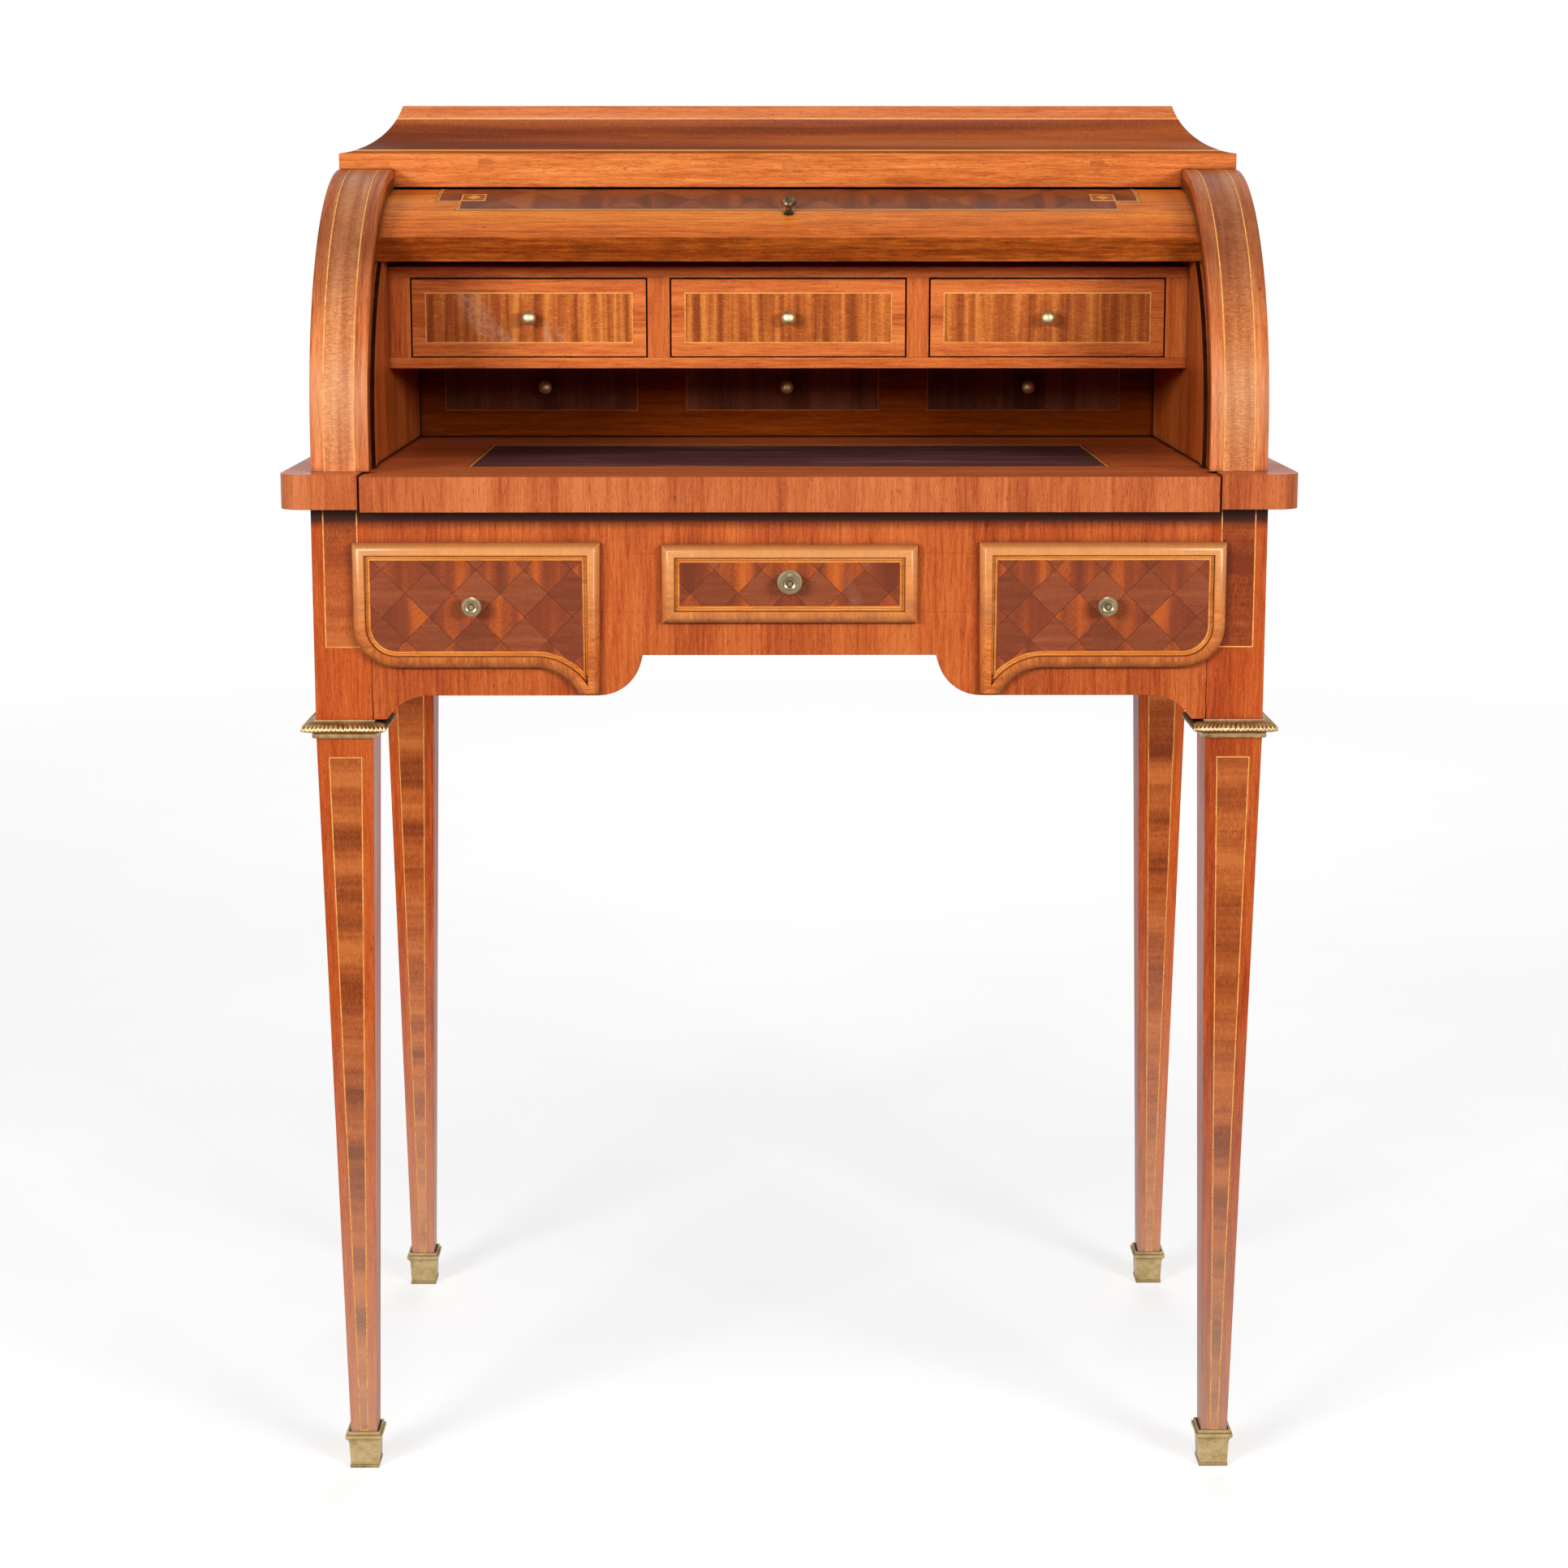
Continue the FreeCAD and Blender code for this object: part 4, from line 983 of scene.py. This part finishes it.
def corner_square(name, side, way):
    """Small square with a flower in it, at a corner of the field."""
    higher = over_fall(2)
    edges = sorted((side * (FALL_FIELD_HALF - CORNER_SQUARE), side * (FALL_FIELD_HALF - 2 * CORNER_SQUARE)))
    span = (way, way + CORNER_SQUARE)
    patch(name, over_fall(1), edges, span, "square_wood", "fall", steps=(2, 6))
    loop = rectangle(edges, span, (1, 5))
    ring(name + "_string", higher, loop, -STRING, STRING * 0.3, "string_wood", "fall")
    for index, spot in enumerate(circle((sum(edges) / 2, sum(span) / 2), PETAL_OUT, 4)):
        rim = [higher(*point) for point in circle(spot, PETAL_RADIUS, 12)]
        rows = [rim, [higher(*spot)] * len(rim)]
        inlay(f"{name}_petal_{index + 1}", rows, "string_wood", "fall", closed=True)


# Cornice

def cap_point(rise):
    """How far the cavetto has stepped in at a height above its foot."""
    low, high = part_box("cornice_cap")
    chord = Vector((CAP_SETBACK, high[2] - low[2]))
    across = Vector((-chord.y, chord.x)).normalized()
    centre = chord / 2 + across * sqrt(CAP_RADIUS ** 2 - (chord.length / 2) ** 2)
    return centre.x + sqrt(CAP_RADIUS ** 2 - (rise - centre.y) ** 2) * (1 if centre.x < 0 else -1)


def cap_rows(first, last):
    """Rows round the cap's front and ends, between two heights above its foot."""
    low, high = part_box("cornice_cap")
    rows = []
    for rise in spaced(first, last, 10):
        step = cap_point(rise) - LIFT * 1.5
        left, right, front = low[0] + step, high[0] - step, low[1] + step
        z = low[2] + rise + LIFT * 0.5
        rows.append([(left, high[1], z), (left, front, z), (right, front, z), (right, high[1], z)])
    return rows


def inlay_cap():
    """Two strings round the cavetto, a dark band between them and a light one above."""
    low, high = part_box("cornice_cap")
    names = ("cap_string_low", "cap_band", "cap_string_high", "cap_edge")
    kinds = ("string_wood", "cap_band_wood", "string_wood", "cap_edge_veneer")
    edges = (CAP_STRING_LOW, CAP_STRING_LOW + STRING, CAP_STRING_HIGH, CAP_STRING_HIGH + STRING,
             high[2] - low[2] - LIFT)
    for name, kind, first, last in zip(names, kinds, edges, edges[1:]):
        inlay(name, cap_rows(first, last), kind, slot="mahogany_veneer")


def plug_rail():
    """Filled plugs in the cornice rail."""
    low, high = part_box("cornice_rail")
    for index, x in enumerate(PLUG_PLACES):
        loop = circle((x, high[2] - PLUG_BELOW_TOP), PLUG_RADIUS, 24)
        ring(f"rail_plug_{index + 1}", front_face(low[1]), loop, 0, PLUG_RADIUS * 0.96, "plug_wood")


# Gallery and rear drawer

def inlay_upper_drawers():
    """Panel in a string on each gallery drawer, and the dark gap at its edges."""
    for side in SIDES:
        name = f"upper_{side}_drawer"
        low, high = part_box(name + "_front")
        place = front_face(low[1])
        rim = rectangle((low[0], high[0]), (low[2], high[2]))
        framed_panel(name + "_{}", place, inset_loop(rim, UPPER_PANEL_INSET), "upper_panel_wood", name)
        ring(name + "_rim", place, rim, 0, JOINT_HALF, "crack_grime", name)


def inlay_rear_drawer():
    """Three dark panels in strings on the long rear drawer."""
    low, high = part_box("rear_drawer_front")
    place = front_face(low[1])
    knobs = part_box("rear_drawer_knobs")
    spacing = (knobs[1][0] - knobs[0][0]) / 2 - KNOB_RADIUS
    up = (low[2] + REAR_PANEL_LOW, high[2] - REAR_PANEL_HIGH)
    for index in (-1, 0, 1):
        middle = index * spacing + REAR_PANEL_SHIFT
        across = (middle - REAR_PANEL_HALF, middle + REAR_PANEL_HALF)
        name = f"rear_panel_{index + 2}"
        patch(name, place, across, up, "rear_panel_wood", "rear_drawer")
        # painted shade: the rear drawer's strings take the dark string wood, for the shade in the niche
        ring(name + "_string", place, rectangle(across, up), -STRING, 0, "dark_string_wood", "rear_drawer")


# Materials for the nodes and the inlays

def lighter(shades, gain):
    """Shades made lighter by a gain."""
    return [tuple(value * gain for value in shade) for shade in shades]


def make_woods():
    """All woods: name, grain, shades, closeness of the ribbons, offset of the figure."""
    honey = ((150, 68, 18), (190, 98, 32), (216, 128, 54))
    oak = ((146, 88, 50), (186, 119, 72), (208, 146, 98))
    leg = ((146, 52, 16), (186, 78, 26), (206, 100, 40))
    panel = ((124, 54, 20), (172, 84, 36), (200, 112, 54))
    worn = {"edge": EDGE_ROUND}
    case = {"edge": EDGE_ROUND, "dirt": overhang_shadow}
    unshaded = {"dirt": None}
    wood("apron_veneer", "Z", ((152, 58, 20), (190, 88, 36), (212, 114, 54)), 26.0, **case)
    wood("edge_veneer", "Z", ((164, 74, 32), (196, 101, 52), (212, 122, 70)), 48.0, 2.0,
         place=level_point, **worn)
    wood("leg_veneer", "Z", leg, 22.0, 4.0, marks=paler_towards_feet, **case)
    # painted light: a lighter copy of the leg wood for the back legs, which the lamps light less
    wood("back_leg_veneer", "Z", lighter(leg, 1.06), 22.0, 5.0, marks=paler_towards_feet, **case)
    wood("rail_veneer", "X", ((168, 76, 26), (214, 116, 50), (236, 146, 74)), 30.0, 6.0, **worn)
    wood("cap_veneer", "X", ((164, 74, 30), (202, 106, 50), (222, 134, 74)), 30.0, 6.5, 0.0)
    wood("cap_edge_veneer", "X", ((150, 70, 34), (190, 100, 52), (212, 126, 74)), 30.0, 7.0)
    wood("fall_veneer", "X", ((164, 70, 16), (214, 110, 34), (240, 144, 54)), 34.0, 8.0,
         dirt=fall_end_shade, **worn)
    wood("cheek_veneer", "Z", ((150, 64, 22), (198, 100, 44), (222, 132, 68)), 30.0, 10.0,
         dirt=groove_side_shade, **worn)
    wood("cheek_front_veneer", "Z", ((154, 66, 26), (208, 114, 60), (234, 148, 90)), 70.0, 11.0,
         place=curve_point, marks=cheek_painted_light)
    wood("gallery_veneer", "X", ((170, 76, 30), (214, 112, 50), (234, 138, 70)), 60.0, 12.4, **worn)
    wood("upright_veneer", "Z", ((168, 74, 28), (208, 106, 46), (226, 130, 64)), 60.0, 13.0, **worn)
    wood("inner_veneer", "Z", ((122, 54, 18), (168, 78, 26), (194, 102, 42)), 26.0, 14.0)
    wood("plain_oak", "Y", oak, 40.0, 18.0, 0.0)
    wood("plain_oak_across", "X", oak, 40.0, 20.0, 0.0)
    # painted shade: darker than the fronts' mahogany, for the shade deep in the niche
    wood("rear_veneer", "X", ((82, 32, 4), (116, 47, 8), (138, 64, 14)), 24.0, 22.0, 0.0)
    wood("moulding_wood", "Z", honey, 60.0, 24.0, 0.4, marks=moulding_painted_light, **unshaded)
    # painted light: lighter copy of the moulding wood for the upright runs
    wood("moulding_upright_wood", "X", lighter(honey, 1.07), 60.0, 25.0, 0.4, marks=moulding_painted_light, **unshaded)
    wood("string_wood", "X", ((216, 138, 60), (238, 166, 86), (248, 190, 114)), 90.0, 26.0, **unshaded)
    wood("field_string_wood", "X", ((202, 112, 40), (224, 136, 56), (238, 160, 78)), 90.0, 27.0, **unshaded)
    wood("dark_string_wood", "X", ((128, 62, 24), (164, 86, 36), (188, 106, 48)), 90.0, 28.0, 0.0, **unshaded)
    wood("joint_grime", "X", ((84, 44, 24), (112, 62, 34), (136, 80, 46)), 90.0, 28.5, 0.0, **unshaded)
    # dark joints, and painted shade in the groove beside the linings' lips
    wood("crack_grime", "Z", ((30, 13, 8), (44, 20, 12), (66, 34, 22)), 90.0, 29.0, 0.0, **unshaded)
    wood("square_wood", "X", ((136, 66, 30), (162, 84, 40), (184, 104, 54)), 60.0, 30.0, **unshaded)
    wood("plug_wood", "X", ((164, 80, 28), (198, 106, 46), (218, 130, 64)), 60.0, 31.0, **unshaded)
    ribbon_wood("leg_panel_wood", "X", panel, 36.0, 32.0, marks=paler_towards_feet)
    # painted light: a lighter copy of the leg panel wood for the back legs
    ribbon_wood("back_leg_panel_wood", "X", lighter(panel, 1.08), 36.0, 33.0, marks=paler_towards_feet)
    ribbon_wood("post_panel_wood", "X", ((124, 50, 20), (166, 78, 34), (194, 104, 52)), 30.0, 34.0,
                dirt=overhang_shadow)
    ribbon_wood("cheek_band_wood", "Z", ((134, 66, 30), (198, 116, 64), (238, 166, 110)), 44.0, 36.0,
                curve_point, marks=cheek_painted_light)
    ribbon_wood("cap_band_wood", "X", ((108, 44, 10), (146, 66, 22), (172, 90, 38)), 40.0, 38.0)
    ribbon_wood("upper_panel_wood", "Z", ((140, 66, 24), (186, 97, 38), (224, 138, 62)), 135.0, 40.6,
                marks=scuffed)
    ribbon_wood("rear_panel_wood", "Z", ((76, 40, 28), (102, 55, 38), (124, 70, 50)), 40.0, 42.0, coat=0.0)
    parquetry("field_parquetry", front_plane, 0.0239, ((108, 50, 28), (138, 68, 40), (160, 86, 54)),
              ((114, 52, 30), (138, 64, 36), (178, 84, 36), (208, 106, 44)))
    parquetry("fall_parquetry", on_cylinder, 0.034, ((100, 44, 16), (126, 60, 26), (150, 78, 38)),
              ((88, 38, 18), (110, 50, 24), (146, 70, 30), (172, 90, 42)))


def make_metals():
    """Bronze and brass."""
    metal("aged_bronze", ((112, 84, 50), (172, 140, 96), (216, 188, 142)), (0.26, 0.42), 160.0, (0.3, 0.74))
    metal("knob_bronze", ((92, 78, 56), (142, 124, 96), (180, 162, 132)), (0.26, 0.4), 60.0, (0.2, 0.8))
    metal("dark_knob_bronze", ((54, 42, 28), (104, 84, 56), (160, 136, 96)), (0.3, 0.46), 220.0)
    metal("rubbed_brass", ((190, 166, 112), (226, 208, 158), (242, 230, 190)), (0.36, 0.48), 200.0)
    metal("sabot_brass", ((112, 118, 88), (178, 152, 102), (204, 178, 130)), (0.34, 0.56), 90.0,
          (0.3, 0.6), 0.75)


def dress_nodes():
    """Gives every node the material of the longest listed word in its name."""
    words = {
        "apron_veneer": "apron", "leg_veneer": "leg_front", "back_leg_veneer": "leg_back",
        "aged_bronze": "leg_collars", "sabot_brass": "foot_sabots", "old_leather": "slide_leather",
        "plain_oak": "runners bearers drawer_box", "plain_oak_across": "dust upper_back",
        "edge_veneer": "top_end top_back writing_slide", "inner_veneer": "lining stop_rail rear_floor",
        "cheek_veneer": "cheek", "fall_veneer": "cylinder_fall", "dark_knob_bronze": "cylinder_knob",
        "rail_veneer": "cornice", "cap_veneer": "cornice_cap", "moulding_wood": "moulding",
        "field_parquetry": "field", "gallery_veneer": "gallery drawer_front", "knob_bronze": "drawer_knob",
        "rear_veneer": "rear_drawer_front", "upright_veneer": "gallery_uprights",
    }
    uses = {word: kind for kind, listed in words.items() for word in listed.split()}
    for word in ("rear_drawer_knobs", *(f"upper_{side}_drawer_knob" for side in SIDES)):
        uses[word] = "rubbed_brass"
    for name, made in nodes.items():
        word = max((word for word in uses if word in name), key=len)
        made.data.materials.clear()
        made.data.materials.append(materials[uses[word]])


# Stage

def seen_by_eye(tree):
    """1 for rays from the camera, by way of metal or glass as well."""
    path = add(tree, "LightPath", {}).outputs
    seen = Field(tree, path["Is Camera Ray"])
    return seen.math("MAXIMUM", path["Is Glossy Ray"]).math("MAXIMUM", path["Is Transmission Ray"])


def floor_material():
    """Pale floor with a soft shadow near the desk, white to the camera further away."""
    tree, shader = new_material("pale_floor")
    point = object_point(tree)
    distance = field(tree, "VectorMath", "Value", {0: point}, operation="LENGTH")
    away = grey_ramp(distance / FLOOR_REACH, (0.2, 0.0), (0.62, 1.0))
    put(tree, shader.inputs["Base Color"], grey_ramp(noise(point, 3.0, 2.0), (0.3, 0.46), (0.7, 0.5)))
    shader.inputs["Roughness"].default_value = 0.9
    glow = add(tree, "Emission", {"Color": WHITE, "Strength": FLOOR_GLOW})
    near = add(tree, "AddShader", {0: shader, 1: glow})
    white = add(tree, "Emission", {"Color": WHITE, "Strength": 1.0})
    seen = add(tree, "MixShader", {0: away, 1: near, 2: white})
    plain = add(tree, "BsdfDiffuse", {"Color": (0.22, 0.22, 0.22, 1)})
    mixed = add(tree, "MixShader", {0: seen_by_eye(tree), 1: plain, 2: seen})
    put(tree, tree.nodes["Material Output"].inputs["Surface"], mixed)


def lay_floor():
    """Wide floor under the desk."""
    floor_material()
    span = (-FLOOR_REACH, FLOOR_REACH)
    corners = [(x, y, 0) for x, y in rectangle(span, span)]
    mesh_object("floor", corners, [(0, 1, 2, 3)], materials["pale_floor"])


def light_world():
    """Soft even light all round, white to the camera."""
    world = bpy.data.worlds.new("studio")
    world.use_nodes = True
    tree = world.node_tree
    tree.nodes.clear()
    soft = add(tree, "Background", {"Color": WHITE, "Strength": WORLD_LIGHT})
    white = add(tree, "Background", {"Color": WHITE, "Strength": 1.0})
    mixed = add(tree, "MixShader", {0: seen_by_eye(tree), 1: soft, 2: white})
    add(tree, "OutputWorld", {"Surface": mixed})
    scene.world = world


def area_lamp(name, place, target, size, power):
    """Soft box, twice as wide as high, aimed at a point."""
    data = bpy.data.lights.new(name, "AREA")
    data.shape = "RECTANGLE"
    data.size = size
    data.size_y = size / 2
    data.energy = power
    lamp = placed(name, data)
    lamp.location = place
    lamp.rotation_euler = (Vector(target) - Vector(place)).to_track_quat("-Z", "Y").to_euler()
    return lamp


def set_camera():
    """Camera at the photograph's viewing angle."""
    data = bpy.data.cameras.new("camera")
    data.sensor_width = 36
    data.lens = CAMERA_LENS
    data.shift_y = CAMERA_SHIFT
    camera = placed("camera", data)
    camera.location = CAMERA_PLACE
    camera.rotation_euler = (radians(90 - CAMERA_PITCH), 0, radians(CAMERA_YAW))
    scene.camera = camera


set_camera()
light_world()
area_lamp("lamp_left", (-1.9, -2.5, 1.44), (0, 0, 0.7), 1.1, 67)
area_lamp("lamp_right", (2.0, -2.5, 1.42), (0, 0, 0.7), 1.1, 60)
area_lamp("lamp_top", (0.0, -0.9, 2.7), (0, -0.1, 0.8), 0.9, 9)
area_lamp("lamp_back", (0.4, 3.2, 1.9), (0, 0, 0.6), 1.8, 44).visible_glossy = False
lay_floor()
make_woods()
make_metals()
old_leather()
dress_nodes()
inlay_legs()
gadroon_collars()
post_joints()
string_fields()
border_leather()
slide_joints()
inlay_cheeks()
lining_lips()
inlay_fall()
inlay_cap()
plug_rail()
inlay_upper_drawers()
inlay_rear_drawer()
scene.view_settings.view_transform = "Standard"
